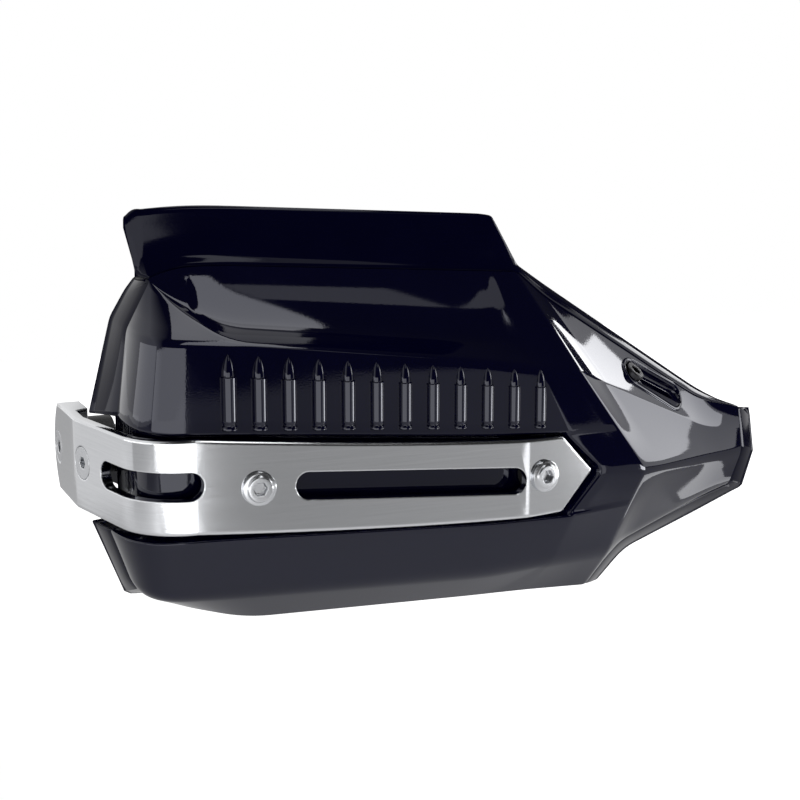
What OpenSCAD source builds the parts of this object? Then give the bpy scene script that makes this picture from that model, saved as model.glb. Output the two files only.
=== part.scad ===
// Motorcycle hand guard, right hand side
// x runs along the handlebar from its outer end inwards, y runs rearwards, z runs up.
// The origin is on the handlebar's axis, at the face of the guard strap's end boss.
// Places on the shells are given as [x, back, z], where back is the distance behind the
// strap's front face.

/* [Strap] */
// Distance from the handlebar's axis forward to the strap's front face
reach = 87; // [80:1:100]
// Thickness of the strap
strap_t = 4; // [3:0.5:5]
// Height of the strap along its side
strap_h = 34.5; // [30:0.5:38]
// Height of the strap at its inner end
strap_end_h = 30.5; // [27:0.5:33]
// How far the strap's middle drops from the corner to the inner end
strap_drop = 9.6; // [7:0.2:12]
// Distance from the boss's inner face inwards to the point of the strap
strap_tip_x = 184; // [178:1:190]
// Length of the strap's pointed end
strap_point = 14; // [10:1:18]
// Outer radius of the strap's front corner
strap_corner_r = 23.5; // [20:0.5:27]
// Angle by which the strap's side leans outwards on its way back
strap_lean = 12.6; // [8:0.2:15]
// Angle by which the strap's inner end is bent back
strap_end_bend = 11; // [6:1:14]
// Distance from the boss's inner face to the bend of the inner end
strap_bend_x = 153; // [148:1:156]
// Thickness of the boss at the handlebar end
boss_t = 9; // [7:0.5:12]
// Length of the boss along the strap
boss_len = 23; // [20:1:26]
// Height of the strap's slots
slot_h = 10.5; // [8:0.5:12]
// Radius of the strap's rounded end at the handlebar
nose_r = 25; // [22:1:28]
// How far the strap reaches past the handlebar's axis
nose_over = 8; // [5:1:10]
// Width of the bevel along the strap's edges
strap_bevel = 0.9; // [0.4:0.1:1.2]

/* [Cover] */
// Wall of the front cover
cover_wall = 3; // [2:0.5:3.5]
// How far the cover's face lies behind the strap's front face
face_back = 4.2; // [3.5:0.1:5]
// Depth of the channel that the strap lies in
channel_depth = 4.5; // [3.5:0.5:5.5]
// Height of the channel's upper lip above the strap
channel_gap = 1.2; // [1:0.2:2.4]
// Drop of the channel's lower lip below the strap
channel_low_gap = 2.2; // [1.4:0.2:3]
// How far back the cover's rear edge lies
edge_back = 28; // [25:1:31]
// Number of raised ribs
rib_count = 12; // [6:1:12]
// Distance between neighbouring ribs
rib_pitch = 11.3; // [10.5:0.1:11.5]
// Height of the first rib
rib_h = 27.2; // [20:0.2:28]
// Width of the first rib
rib_w = 5.9; // [4:0.1:7]
// Height and width of the last rib as a share of the first one's
rib_taper = 0.83; // [0.7:0.01:1]

/* [Rear frame] */
// Wall of the rear frame
frame_wall = 2.5; // [2:0.5:3]
// Height of the wind deflector above the cover's top edge
fin_h = 22; // [12:1:30]
// How far back the frame's rim reaches at the outer end
rim_back = 46; // [44:1:48]

/* [Fasteners] */
// Radius of the screws through the strap
screw_r = 3; // [2.5:0.5:3]
// Radius of the flanged bolt heads
head_r = 6.25; // [5.5:0.25:6.5]
// Radius of the countersunk heads
sunk_r = 6.5; // [6:0.25:7]
// Distance from the boss to the outer strap bolt
outer_bolt_x = 45; // [42:1:48]
// Distance from the boss to the inner strap bolt
inner_bolt_x = 161; // [160:0.5:162]
// Distance from the rear bend of the strap's side forward to the side screw
side_screw_fwd = 6; // [4:1:8]

/* [Handlebar fixing] */
// Radius of the handlebar
bar_r = 11; // [11:0.1:11.2]
// Radius of the expander inside the handlebar
expander_r = 7; // [6.5:0.5:8.5]
// Length of the expander
expander_len = 34; // [28:1:40]
// Thickness of the spacer at the handlebar's end
end_spacer_t = 12; // [8:1:15]
// Distance from the boss to the clamp's outer face
clamp_x = 196; // [194:1:200]
// Width of the clamp along the handlebar
clamp_w = 15; // [13:1:18]

/* [Hidden] */

$fn = 40;
eps = 0.01;
// Gap between curved faces that touch, and between a screw and its hole
ease = 0.3;
// Gap between a screw and the thread that holds it
thread_ease = 0.05;

function lerp(a, b, t) = a + (b - a) * t;
function unit(v) = v / norm(v);
function lean(a, b, cut, share) = a + min(cut, share * norm(b - a)) * unit(b - a);
function curve(a, p, b, t) = (1 - t) * (1 - t) * a + 2 * t * (1 - t) * p + t * t * b;

// Path through points: straight stretches in steps, and at each corner a curve that starts
// and ends a set distance from it
function rounded_path(p, cuts, steps, turns) =
    let (
        n = len(p) - 1,
        a = [for (i = [1:1:n - 1]) lean(p[i], p[i - 1], cuts[i - 1], i == 1 ? 0.95 : 0.48)],
        b = [for (i = [1:1:n - 1]) lean(p[i], p[i + 1], cuts[i - 1], i == n - 1 ? 0.95 : 0.48)]
    )
    [
        for (i = [0:n - 1]) each concat(
            [for (k = [0:steps[i] - 1])
                lerp(i == 0 ? p[0] : b[i - 1], i == n - 1 ? p[n] : a[i], k / steps[i])],
            i == n - 1 ? [p[n]]
                : [for (k = [0:turns[i] - 1]) curve(a[i], p[i + 1], b[i], k / turns[i])]
        )
    ];

// Values spread over the same samples as a rounded path
function spread(v, steps, turns) =
    let (n = len(v) - 1)
    [
        for (i = [0:n - 1]) each concat(
            [for (k = [0:steps[i] - 1]) lerp(v[i], v[i + 1], k / steps[i])],
            i == n - 1 ? [v[n]] : [for (k = [0:turns[i] - 1]) v[i + 1]]
        )
    ];

function cage_surface(cage, a, d) =
    let (rows = [for (r = cage) rounded_path(r, a[0], a[1], a[2])])
    [for (j = [0:len(rows[0]) - 1]) rounded_path([for (r = rows) r[j]], d[0], d[1], d[2])];

// Closed wall between a front grid and a back grid
module wall_between(front, rear) {
    nj = len(front);
    ni = len(front[0]);
    total = nj * ni;
    points = [
        for (g = [front, rear]) for (column = g) for (p = column) [p[0], p[1] - reach, p[2]]
    ];
    function id(j, i) = j * ni + i;
    function quad(a, b, c, d) = [[a, b, c], [a, c, d]];
    faces = concat(
        [for (j = [0:nj - 2]) for (i = [0:ni - 2])
            each quad(id(j, i), id(j + 1, i), id(j + 1, i + 1), id(j, i + 1))],
        [for (j = [0:nj - 2]) for (i = [0:ni - 2])
            each quad(total + id(j, i), total + id(j, i + 1), total + id(j + 1, i + 1),
                total + id(j + 1, i))],
        [for (i = [0:ni - 2])
            each quad(id(0, i), id(0, i + 1), total + id(0, i + 1), total + id(0, i))],
        [for (i = [0:ni - 2])
            each quad(id(nj - 1, i + 1), id(nj - 1, i), total + id(nj - 1, i),
                total + id(nj - 1, i + 1))],
        [for (j = [0:nj - 2])
            each quad(id(j + 1, 0), id(j, 0), total + id(j, 0), total + id(j + 1, 0))],
        [for (j = [0:nj - 2])
            each quad(id(j, ni - 1), id(j + 1, ni - 1), total + id(j + 1, ni - 1),
                total + id(j, ni - 1))]
    );
    polyhedron(points, faces, convexity = 8);
}

// Put the children at a place with their z axis along a direction [x, back, z]
module aim(p, d = [0, 1, 0]) {
    u = unit(d);
    translate([p[0], p[1] - reach, p[2]])
        rotate([0, acos(u[2]), atan2(u[1], u[0])])
            children();
}

module tube(r, bore, h) {
    difference() {
        cylinder(r = r, h = h);
        translate([0, 0, -eps]) cylinder(r = bore, h = h + 2 * eps);
    }
}

// Strap: height of its middle and half its height at a distance inwards
strap_turn = 90 - strap_lean;
strap_slant = tan(strap_lean);
strap_side_bend = 56;
side_screw_back = strap_side_bend - side_screw_fwd;
side_rise = strap_side_bend - strap_corner_r * (1 - cos(strap_turn));
strap_flat_x = strap_corner_r * sin(strap_turn) + strap_slant * side_rise - boss_t;
strap_full_x = strap_tip_x - strap_point;
side_x_zero = strap_slant * strap_side_bend - boss_t;
function side_face(back) = side_x_zero - strap_slant * back;
function strap_share(x) = max(0, min(1, (x - strap_flat_x) / (strap_full_x - strap_flat_x)));
function strap_mid(x) = -strap_drop * (1 - pow(1 - strap_share(x), 1.5));
function strap_half(x) = lerp(strap_h, strap_end_h, strap_share(x)) / 2;
function strap_top(x) = strap_mid(x) + strap_half(x);
function strap_bottom(x) = strap_mid(x) - strap_half(x);

// Edge of the cover on top, from the outer corner to the tail
cover_top = [
    [13.7, edge_back, 71.4],
    [22, edge_back, 74.6],
    [36, edge_back, 75.2],
    [140, edge_back + 1.4, 68.6],
    [148, edge_back + 1.6, 68.1],
    [152, edge_back + 1.7, 67.8],
    [162, edge_back + 2, 67.2],
    [174.5, edge_back + 2, 56.6],
    [254, edge_back + 9, 7.7],
    [276.3, edge_back + 12, 2.3]
];

// Crease at the inner side of the face, with the tail's middle and low edges
crease_top = cover_top[6];
crease_lip = [178.7, 6, 30.3];
crease_ridge = [210.7, 8, -12.6];
crease_low = [195.2, 10, -45.8];

function crease(t) =
    t < 0.46 ? lerp(crease_top, crease_lip, t / 0.46)
    : t < 1 ? lerp(crease_lip, crease_ridge, (t - 0.46) / 0.54)
    : lerp(crease_ridge, crease_low, t - 1);

tail_ridge = [[220, 12, -13.6], [258, 31.3, -16], [278.8, 40, -17.8]];
tail_low = [[208.3, 20, -44.3], [257.4, 36, -34.2], [273, 40, -31.5]];
tail_swell = [0.6, 0.1, 0];

function tail(t) = [
    for (k = [0:2])
        t < 1
            ? lerp(cover_top[k + 7], tail_ridge[k], t)
                + tail_swell[k] * (crease(t) - lerp(crease_top, crease_ridge, t))
            : lerp(tail_ridge[k], tail_low[k], t - 1)
];

// One row of the face: rear edge of the side wall, corner, face, end of the channel, crease,
// tail; the row steps forward by rise past the channel's end
function face_row(edge, corner, z_mid, z_far, x_end, back, rise, t, fall = 0) =
    let (
        c = crease(t),
        out = x_end + 3,
        z_out = lerp(z_far, c[2], (out - x_end) / (c[0] - x_end))
    )
    concat(
        [
            edge,
            corner,
            [36, corner[1], lerp(corner[2], z_mid, 0.2)],
            [140, back, z_mid],
            [x_end, back + fall, z_far],
            [out, back - rise, z_out],
            c
        ],
        tail(t)
    );

// Channel that the strap lies in
channel_back = face_back + channel_depth;
channel_rise = channel_depth - 0.2;
channel_slope = 1.5;
// The channel's floor falls back with the strap's bent end
channel_fall = 2.4;
channel_top = strap_h / 2 + 2.5;
side_x = 1.2;
floor_x = side_x + channel_depth - 0.4;
function upper_lip(x) = strap_top(x) + channel_gap;
function lower_lip(x) = strap_bottom(x) - channel_low_gap;

cover_cage = [
    cover_top,
    concat(
        [[14, edge_back - 0.1, 71], [20, 25.5, 66], [36, 22.5, 56.5], [140, 22.5, 47]],
        [[150, 21.8, 48], [156, 20.6, 48.6], crease(0.23)],
        tail(0.23)
    ),
    concat(
        [[14.3, edge_back - 0.3, 70.4], [17.6, 23.5, 65], [36.5, 5.5, 50.4], [140, 4.8, 37.1]],
        [[158, 5.4, 33.9], [165, 5.6, 32.7], crease(0.46)],
        tail(0.46)
    ),
    face_row([5.5, edge_back, 53.6], [4.6, 4.6, 52.8], 35.4, 32, 158, face_back, 0, 0.485),
    face_row([side_x, edge_back, channel_top + 2.8], [1, face_back, channel_top],
        upper_lip(140), upper_lip(171), 171, face_back, 0, 0.745),
    face_row([floor_x, edge_back, channel_top + 0.8],
        [floor_x, channel_back, channel_top - channel_slope],
        upper_lip(140) - channel_slope, upper_lip(170) - channel_slope, 170,
        channel_back, channel_rise, 0.775),
    face_row([floor_x, edge_back, 0], [floor_x, channel_back, 0],
        strap_mid(140), strap_mid(186), 186, channel_back, channel_rise, 1, channel_fall),
    face_row([floor_x, edge_back, channel_slope - channel_top],
        [floor_x, channel_back, channel_slope - channel_top],
        lower_lip(140) + channel_slope, lower_lip(172) + channel_slope, 172,
        channel_back, channel_rise, 1.36),
    face_row([-2.7, edge_back, 0.1 - channel_top], [-1.5, face_back, -channel_top],
        lower_lip(140), lower_lip(173), 173, face_back, 0, 1.42),
    face_row([4.3, edge_back - 1, -40.4], [3, 8, -42.5], -47.8, -46.6, 165, 7.7, 0, 2),
    concat(
        [[7, 24, -42.3], [14, 22, -47.5], [46, 22, -57.4], [140, 22, -60.6]],
        [[150, 22, -60.8], [165, 22, -61.2], [191.6, 22, -62.4]],
        [[207, 21.5, -45.6], [257.6, 38, -35], [273.2, 41.5, -32]]
    )
];

// Samples across and down the cover: cuts, steps along the stretches, turns at the corners
cuts_across = [26, 10, 8, 1, 1, 1.5, 6, 8];
cuts_down = [30, 1.5, 2, 0.7, 0.7, 4, 0.7, 0.7, 4];
across = [cuts_across, [2, 2, 3, 1, 1, 2, 2, 4, 2], [6, 2, 1, 1, 1, 2, 2, 2]];
down = [cuts_down, [2, 2, 1, 3, 1, 2, 2, 1, 3, 2], [5, 2, 2, 1, 1, 2, 1, 1, 3]];

// Tilt of the way into the wall for each row: at the outer corner, on the face, on the tail
corner_tilt = [-30, -30, -30, -12, 0, 0, 0, 0, 0, 30, 38];
face_tilt = [-50, -50, -12, -12, 0, 0, 0, 0, 0, 30, 38];
tail_tilt = [-45, -38, -34, -33, -30, -28, -4, 18, 20, 26, 34];
function clamp01(t) = max(0, min(1, t));

// Direction into the wall at each sample, square to one row of the face seen from above
function inward(grid, row, steps, turns) =
    let (
        n = len(grid) - 1,
        a = spread(corner_tilt, steps, turns),
        b = spread(face_tilt, steps, turns),
        c = spread(tail_tilt, steps, turns)
    )
    [
        for (j = [0:n])
            let (
                t = grid[min(j + 1, n)][row] - grid[max(j - 1, 0)][row],
                m = unit([-t[1], t[0]]),
                x = grid[j][0][0],
                u = clamp01((x - 14) / 22),
                v = clamp01((x - 164) / 20)
            )
            [
                for (i = [0:len(a) - 1])
                    let (q = lerp(lerp(a[i], b[i], u), c[i], v))
                    [m[0] * cos(q), m[1] * cos(q), sin(q)]
            ]
    ];

function sheet_back(grid, dirs, wall) =
    [for (j = [0:len(grid) - 1]) [for (i = [0:len(grid[j]) - 1]) grid[j][i] + wall * dirs[j][i]]];

cover_grid = cage_surface(cover_cage, across, down);
cover_dirs = inward(cover_grid, 14, down[1], down[2]);

// Directions and places of the two strap bolts
bend_dir = [-sin(strap_end_bend), cos(strap_end_bend), 0];
outer_bolt_at = [outer_bolt_x, 0, strap_mid(outer_bolt_x)];
inner_bolt_at = [inner_bolt_x, (inner_bolt_x - strap_bend_x) * tan(strap_end_bend),
    strap_mid(inner_bolt_x) + 0.6];
bolt_places = [[outer_bolt_at, [0, 1, 0]], [inner_bolt_at, bend_dir]];

// Bosses that hold the two shells together, as [x, z, back of the cover's wall]
cover_screw_at = [[60, 30, 5.5], [146, 22, 5.5], [60, -34, 7], [146, -36, 7]];
post_r = 4;
shell_meet_back = 26;
shell_boss_end = 33;
tap_r = 1.95;
tap_from = 12;

// Ledge near the tail's upper edge: its middle, the way out of it and its long direction
ledge_at = [227.4, 28.1, 19.8];
ledge_out = unit([0.45, -0.5, 0.742]);
ledge_along = unit([0.87, 0.12, -0.447]);
ledge_len = 38;
ledge_w = 13;
ledge_rim = 1.8;
ledge_floor = 4;
ledge_depth = 6.5;
ledge_screw_shift = -12.2;
ledge_slot = [-6.5, 11];
ledge_slot_w = 4.4;
ledge_screw_r = 2.5;
ledge_head_r = 4.2;
ledge_limit_back = 33.4;
ledge_boss_r = 5.5;
ledge_boss_end = 16;
insert_r = 3.6;
insert_len = 6;

// Children in the ledge's own frame: x along it, z outwards
module on_ledge() {
    y_axis = cross(ledge_out, ledge_along);
    multmatrix([
        [ledge_along[0], y_axis[0], ledge_out[0], ledge_at[0]],
        [ledge_along[1], y_axis[1], ledge_out[1], ledge_at[1] - reach],
        [ledge_along[2], y_axis[2], ledge_out[2], ledge_at[2]],
        [0, 0, 0, 1]
    ]) children();
}

// Upright slab with round ends between two places along x
module round_slot(a, b, w, z, h) {
    for (x = [a, b]) translate([x, 0, z]) cylinder(r = w / 2, h = h);
    translate([a, -w / 2, z]) cube([b - a, w, h]);
}

module ledge_pocket() {
    w = ledge_w - 2 * ledge_rim;
    half = ledge_len / 2 - ledge_rim - w / 2;
    on_ledge() round_slot(-half, half, w, -ledge_floor, 20);
}

module ledge_block() {
    half = (ledge_len - ledge_w) / 2;
    intersection() {
        on_ledge() round_slot(-half, half, ledge_w, -ledge_depth, ledge_depth);
        translate([150, -reach, -50]) cube([150, ledge_limit_back, 150]);
    }
}

module ledge_holes() {
    on_ledge() {
        round_slot(ledge_slot[0] + ledge_slot_w / 2, ledge_slot[1], ledge_slot_w, -20, 20);
        translate([ledge_screw_shift, 0, -20]) cylinder(r = ledge_screw_r + ease, h = 20);
    }
}

// Raised rib with a pointed top, a shoulder, and a groove and rim at its foot
rib_sink = 0.4;
module rib(x, w, h, z) {
    r = w / 2;
    outline = concat(
        [[0, 0], [r, 0], [r, 0.05 * h], [0.84 * r, 0.06 * h], [0.84 * r, 0.1 * h], [r, 0.12 * h],
            [r, 0.72 * h], [0.74 * r, 0.77 * h]],
        [for (t = [0.25:0.25:0.75]) [0.74 * r * sqrt(1 - t * t), (0.77 + 0.23 * t) * h]],
        [[0, h]]
    );
    translate([x, face_back + rib_sink - reach, z]) rotate_extrude() polygon(outline);
}

function rib_share(k) = k / max(1, rib_count - 1);
rib_first_x = 35.8;
rib_first_z = 19;
rib_last_z = 9.7;

module front_cover() {
    color("#12101f") difference() {
        union() {
            difference() {
                wall_between(cover_grid, sheet_back(cover_grid, cover_dirs, cover_wall));
                ledge_pocket();
            }
            difference() {
                ledge_block();
                ledge_pocket();
            }
            for (k = [0:rib_count - 1]) {
                s = lerp(1, rib_taper, rib_share(k));
                rib(rib_first_x + k * rib_pitch, rib_w * s, rib_h * s,
                    lerp(rib_first_z, rib_last_z, rib_share(k)));
            }
            for (p = cover_screw_at)
                aim([p[0], p[2], p[1]]) cylinder(r = post_r, h = shell_meet_back - p[2]);
        }
        ledge_holes();
        for (p = cover_screw_at)
            aim([p[0], tap_from, p[1]]) cylinder(r = tap_r + thread_ease, h = 30);
        for (b = bolt_places) aim(b[0], b[1]) cylinder(r = screw_r + ease, h = 22);
        on_ledge() translate([ledge_screw_shift, 0, -20])
            cylinder(r = ledge_boss_r + ease, h = 20 - ledge_depth);
    }
}

// Rear frame: samples of the cover's rim that the frame's middle hangs on
frame_across = [cuts_across, [1, 1, 4, 1, 1, 1, 2, 4, 2], [3, 2, 1, 1, 1, 1, 1, 1]];
frame_down = [cuts_down, [2, 1, 1, 2, 1, 1, 1, 1, 2, 1], [2, 1, 1, 1, 1, 1, 1, 1, 2]];
rim_all = cage_surface(cover_cage, frame_across, frame_down);
rim_all_inner =
    sheet_back(rim_all, inward(rim_all, 8, frame_down[1], frame_down[2]), cover_wall);
// Samples that lie too close together are left out
keep_across = concat([0, 2, 3], [for (j = [5:12]) j], [14], [for (j = [16:26]) j], [28]);
keep_down = [0, 6, 7, 8, 9, 10, 12, 14, 15, 16, 19, 20, 21, 22, 24];
function keep_row(row) = [for (j = keep_across) row[j]];
function keep_column(column) = [for (i = keep_down) column[i]];
// The tail's end takes even steps above and below its ridge
ridge_row = 7;
function even_column(c) =
    let (n = len(c) - 1)
    [
        for (i = [0:n])
            i <= ridge_row ? lerp(c[0], c[ridge_row], i / ridge_row)
            : i < n ? lerp(c[ridge_row], c[n - 1], (i - ridge_row) / (n - 1 - ridge_row))
            : c[n]
    ];
function keep_grid(g) = [
    for (j = keep_across)
        j < len(g) - 1 ? keep_column(g[j]) : even_column(keep_column(g[j]))
];
rim_grid = keep_grid(rim_all);
rim_inner = keep_grid(rim_all_inner);
behind = [0, ease, 0];
n_across = len(rim_grid) - 1;
n_down = len(rim_grid[0]) - 1;
// The seat stands further back at the sharp corners, along the bottom and at the tail's tip
function seat_gap(j, i) =
    let (from_right = n_across - j)
    [0.5 * clamp01(1 - from_right / 3), 0, 0]
        + behind * (1 + 5 * clamp01(1 - i / 3) * clamp01(1 - j / 3)
            + (i == n_down ? 1 : 0) + 4 * clamp01((i - n_down + 3) / 3) * clamp01(1 - j / 3)
            + 2 * clamp01(1 - from_right / 3));
seat_grid = [
    for (j = [0:n_across]) [for (i = [0:n_down]) rim_inner[j][i] + seat_gap(j, i)]
];

// Patch spanned by the loop along which the frame meets the cover
function patch(g, j, i) =
    let (n = len(g) - 1, m = len(g[0]) - 1, u = j / n, v = i / m)
    lerp(g[j][0], g[j][m], v) + lerp(g[0][i], g[n][i], u)
        - lerp(lerp(g[0][0], g[n][0], u), lerp(g[0][m], g[n][m], u), v);

// Wind deflector: rows from the rear of its curled top down to the ledge on the cover's edge
fin_back = edge_back + 3;
fin_top = [[13, 3.2], [22, 0.7], [36, 0.2], [140, 0.9], [147, 0.9], [152, 0.4]];
function fin_column(k) =
    let (foot = cover_top[k], x = fin_top[k][0], z = foot[2] + fin_h + fin_top[k][1])
    [
        [x, fin_back + 3.6, z - 2.6],
        [x, fin_back + 1.5, z],
        [x, fin_back - 0.2, z - 1.5],
        [x, fin_back + 0.4, z - 4.2],
        [lerp(x, foot[0], 0.8), fin_back + 0.2, foot[2] + 5.5],
        [foot[0], foot[1] + 2.2, foot[2] + 2.4],
        [foot[0], foot[1] + 0.5, foot[2] + 0.8]
    ];

// Rim round the tail: from the outer loop over a ridge to the cover's edge
tail_rim = [[165.3, 35.2, 69.2], [178.5, 38, 60.8], [258, 44.6, 10.8], [279, 47.2, 0.8]];
rim_shares = [0, 0.1, 0.22, 0.36, 0.5, 0.68, 1];
rim_bulge = 0.8;
function rim_column(outer, inner, swell) = [
    for (t = rim_shares) lerp(outer, inner, t) + swell * (1 - abs(2 * t - 1))
];

top_columns = concat(
    [for (k = [0:5]) fin_column(k)],
    [for (k = [0:3]) rim_column(tail_rim[k], cover_top[k + 6] + [0, 0.35, 0.3],
        rim_bulge * [0.4, -0.5, 0.7])]
);
top_rows = [
    for (r = [0:6])
        keep_row(rounded_path([for (c = top_columns) c[r]], cuts_across, frame_across[1],
            frame_across[2]))
];

// Outer end: the rim's rear edge and its ridge, with a notch where the strap passes
ear_gap = 7;
function ear_face(back) = side_face(back) + (strap_t + ear_gap) / cos(strap_lean);
notch_z = channel_top - 0.6;
outer_left = [
    [12.6, rim_back, 69.6], [10, rim_back, 66.5], [8.4, rim_back, 64], [3.6, rim_back, 56],
    [-5.4, rim_back, notch_z + 1.6], [ear_face(rim_back), rim_back, notch_z],
    [ear_face(rim_back), rim_back, 0], [ear_face(rim_back), rim_back, -notch_z],
    [-5.7, rim_back, -notch_z - 1], [4.6, rim_back, -46.4], [5.6, rim_back, -49]
];
ridge_back = rim_back - 9;
ridge_left = [
    [12.9, ridge_back, 70.4], [11, ridge_back, 67.5], [9.4, ridge_back, 65],
    [4.3, ridge_back, 55.2], [-2.8, ridge_back, notch_z + 2.6],
    [ear_face(ridge_back), ridge_back, notch_z + 0.8], [ear_face(ridge_back), ridge_back, 0],
    [ear_face(ridge_back), ridge_back, -notch_z - 0.4], [-4.6, ridge_back, -notch_z - 1.4],
    [3.8, ridge_back, -44], [5.8, ridge_back, -46.2]
];
// Inner end: the rim round the tail's tip
outer_right = [
    for (t = [0, 0.23, 0.46, 0.485, 0.745, 0.775, 1, 1.36, 1.42, 2, 2.05])
        t < 1 ? lerp([288.4, 48, -4], [291.2, 48, -20], t)
            : lerp([291.2, 48, -20], [286, 48, -34.4], t - 1)
];
function sample_down(c) = keep_column(rounded_path(c, cuts_down, frame_down[1], frame_down[2]));
// The ends of the side lips stop short of the corners
function short_ends(c, t) =
    let (n = len(c) - 1)
    [for (i = [0:n]) i == 0 ? lerp(c[0], c[1], t) : i == n ? lerp(c[n], c[n - 1], t) : c[i]];
lip_left = short_ends([for (i = [0:n_down]) rim_grid[0][i] + seat_gap(0, i)], 0.4);
lip_right = short_ends([for (i = [0:n_down]) rim_grid[n_across][i] + seat_gap(n_across, i)], 0.3);
outer_right_samples = even_column(sample_down(outer_right));
ridge_right = [
    for (i = [0:n_down]) lerp(lip_right[i], outer_right_samples[i], 0.5) + [0.7, -0.3, 0]
];

// Bottom: hidden under the cover's edge up to the tail, then the rim under the tail
outer_low = [
    [12, rim_back, -50.6], [22, rim_back - 2, -52.4], [46, 40, -58.6], [140, 36, -61.4],
    [150, 36, -61.6], [176, 35.5, -62.8], [204.5, 35, -66.1], [218.6, 36.6, -53.9],
    [258, 45, -44.4], [281, 48, -37.4]
];
low_lip = [for (j = [0:n_across]) rim_grid[j][n_down] + seat_gap(j, n_down)];
low_outer = keep_row(rounded_path(outer_low, cuts_across, frame_across[1], frame_across[2]));
low_ridge = [
    for (j = [0:n_across]) lerp(low_lip[j], low_outer[j], 0.5) + [0, 0, -0.5]
];

// Outer end of the wind deflector, rounded at its top
fin_end = concat(
    [
        for (p = [[7.6, 35, -0.8], [7.1, 33.6, -0.2], [6.7, 32.8, -1.2], [6.6, 32.6, -4]])
            p + [0, 0, cover_top[0][2] + fin_h]
    ],
    [[9.6, 33, 77.8], [10.3, 33, 74.2], [10.3, 33, 71.8]]
);
fin_end_rise = [1.4, 1.5, 1.4, 1, 0.2, 0, 0];
function fin_corner(r, t) =
    lerp(fin_end[r], top_rows[r][0], t)
        + [0, 0, fin_end_rise[r] * sin(180 * t)];

tip_corner = [287.5, 48, -0.2];
// Corner block between two rows and two columns that meet
function blend(a, b, c, d, u, v) = lerp(lerp(a, b, u), lerp(c, d, u), v);

frame_grid = concat(
    [
        for (c = [0:2])
            let (side = [sample_down(outer_left), sample_down(ridge_left), lip_left][c])
            concat(
                [for (r = [0:6]) fin_corner(r, [0, 0.3, 0.62][c])],
                side,
                [for (r = [1:3]) blend(side[n_down], low_lip[0], outer_low[0] - [4, 0, -0.3],
                    outer_low[0] - [1, 0, 0], c / 3, r / 3)]
            )
    ],
    [
        for (j = [0:n_across])
            concat(
                [for (r = [0:6]) top_rows[r][j]],
                [for (i = [0:n_down]) patch(seat_grid, j, i)],
                [low_lip[j], low_ridge[j], low_outer[j]]
            )
    ],
    [
        for (c = [0:2])
            let (side = [lip_right, ridge_right, outer_right_samples][c], u = [0.06, 0.5, 1][c])
            concat(
                [for (r = [0:6]) blend(top_rows[0][n_across], tip_corner,
                    top_rows[6][n_across], lerp(tip_corner, outer_right[0], 0.85), u,
                    rim_shares[r])],
                side,
                [for (r = [1:3]) blend(low_lip[n_across], outer_right[10],
                    low_outer[n_across], outer_right[10] - [1.6, 0, 1.2], u, r / 3)]
            )
    ]
);

// Way through the frame's wall at each sample: square to the sheet, then evened out
function square_dirs(g) =
    let (n = len(g) - 1, m = len(g[0]) - 1)
    [
        for (j = [0:n]) [
            for (i = [0:m])
                unit(cross(
                    g[min(j + 1, n)][i] - g[max(j - 1, 0)][i],
                    g[j][min(i + 1, m)] - g[j][max(i - 1, 0)]
                ))
        ]
    ];
function even(d) =
    let (n = len(d) - 1, m = len(d[0]) - 1)
    [
        for (j = [0:n]) [
            for (i = [0:m])
                unit(2 * d[j][i] + d[min(j + 1, n)][i] + d[max(j - 1, 0)][i]
                    + d[j][min(i + 1, m)] + d[j][max(i - 1, 0)])
        ]
    ];
frame_dirs = even(even(square_dirs(frame_grid)));

// Steps from the front sheet to the rear one: thin in the curled top, and deep at the sharp
// fold under the cover's bottom edge
curl_share = [0.25, 0.4, 0.7];
low_row = 7 + n_down;
low_steps = [[0, 2.5, 0.9], [0, 5.1, 2.5], [0, 0, 2.5], [0, -0.5, 2.5]] / 2.5;
function low_share(x) = clamp01((200 - x) / 12) * clamp01((x - 10) / 12);
function frame_step(j, i) =
    let (base = frame_dirs[j][i] * (i < 3 ? curl_share[i] : 1))
    i < low_row || j < 3 || j > 3 + n_across ? base
    : lerp(base, low_steps[i - low_row], low_share(low_lip[j - 3][0]));
frame_rear = [
    for (j = [0:len(frame_grid) - 1]) [
        for (i = [0:len(frame_grid[j]) - 1])
            frame_grid[j][i] + frame_wall * frame_step(j, i)
    ]
];

// Side screw through the strap, the spacer and the frame's ear
side_in = [cos(strap_lean), sin(strap_lean), 0];
side_screw_z = 1.2;
side_screw_at = [side_face(side_screw_back), side_screw_back, side_screw_z];
ear_t = 3;
ear_inset = 0.6;
ear_h = 18;
ear_w = 20;
side_gap = ear_gap + ear_inset;

// Nuts with a lip, and how far a screw reaches past its nut
nut_flats = 10;
nut_h = 5;
nut_lip = 1.2;
screw_over = 5.2;
side_screw_len = strap_t + side_gap + ear_t + nut_h + nut_lip + screw_over - 1;

// Bosses behind the frame at the strap bolts, measured along each bolt
liner_r = 8;
liner_front = 24;
liner_end = 33;

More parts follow.
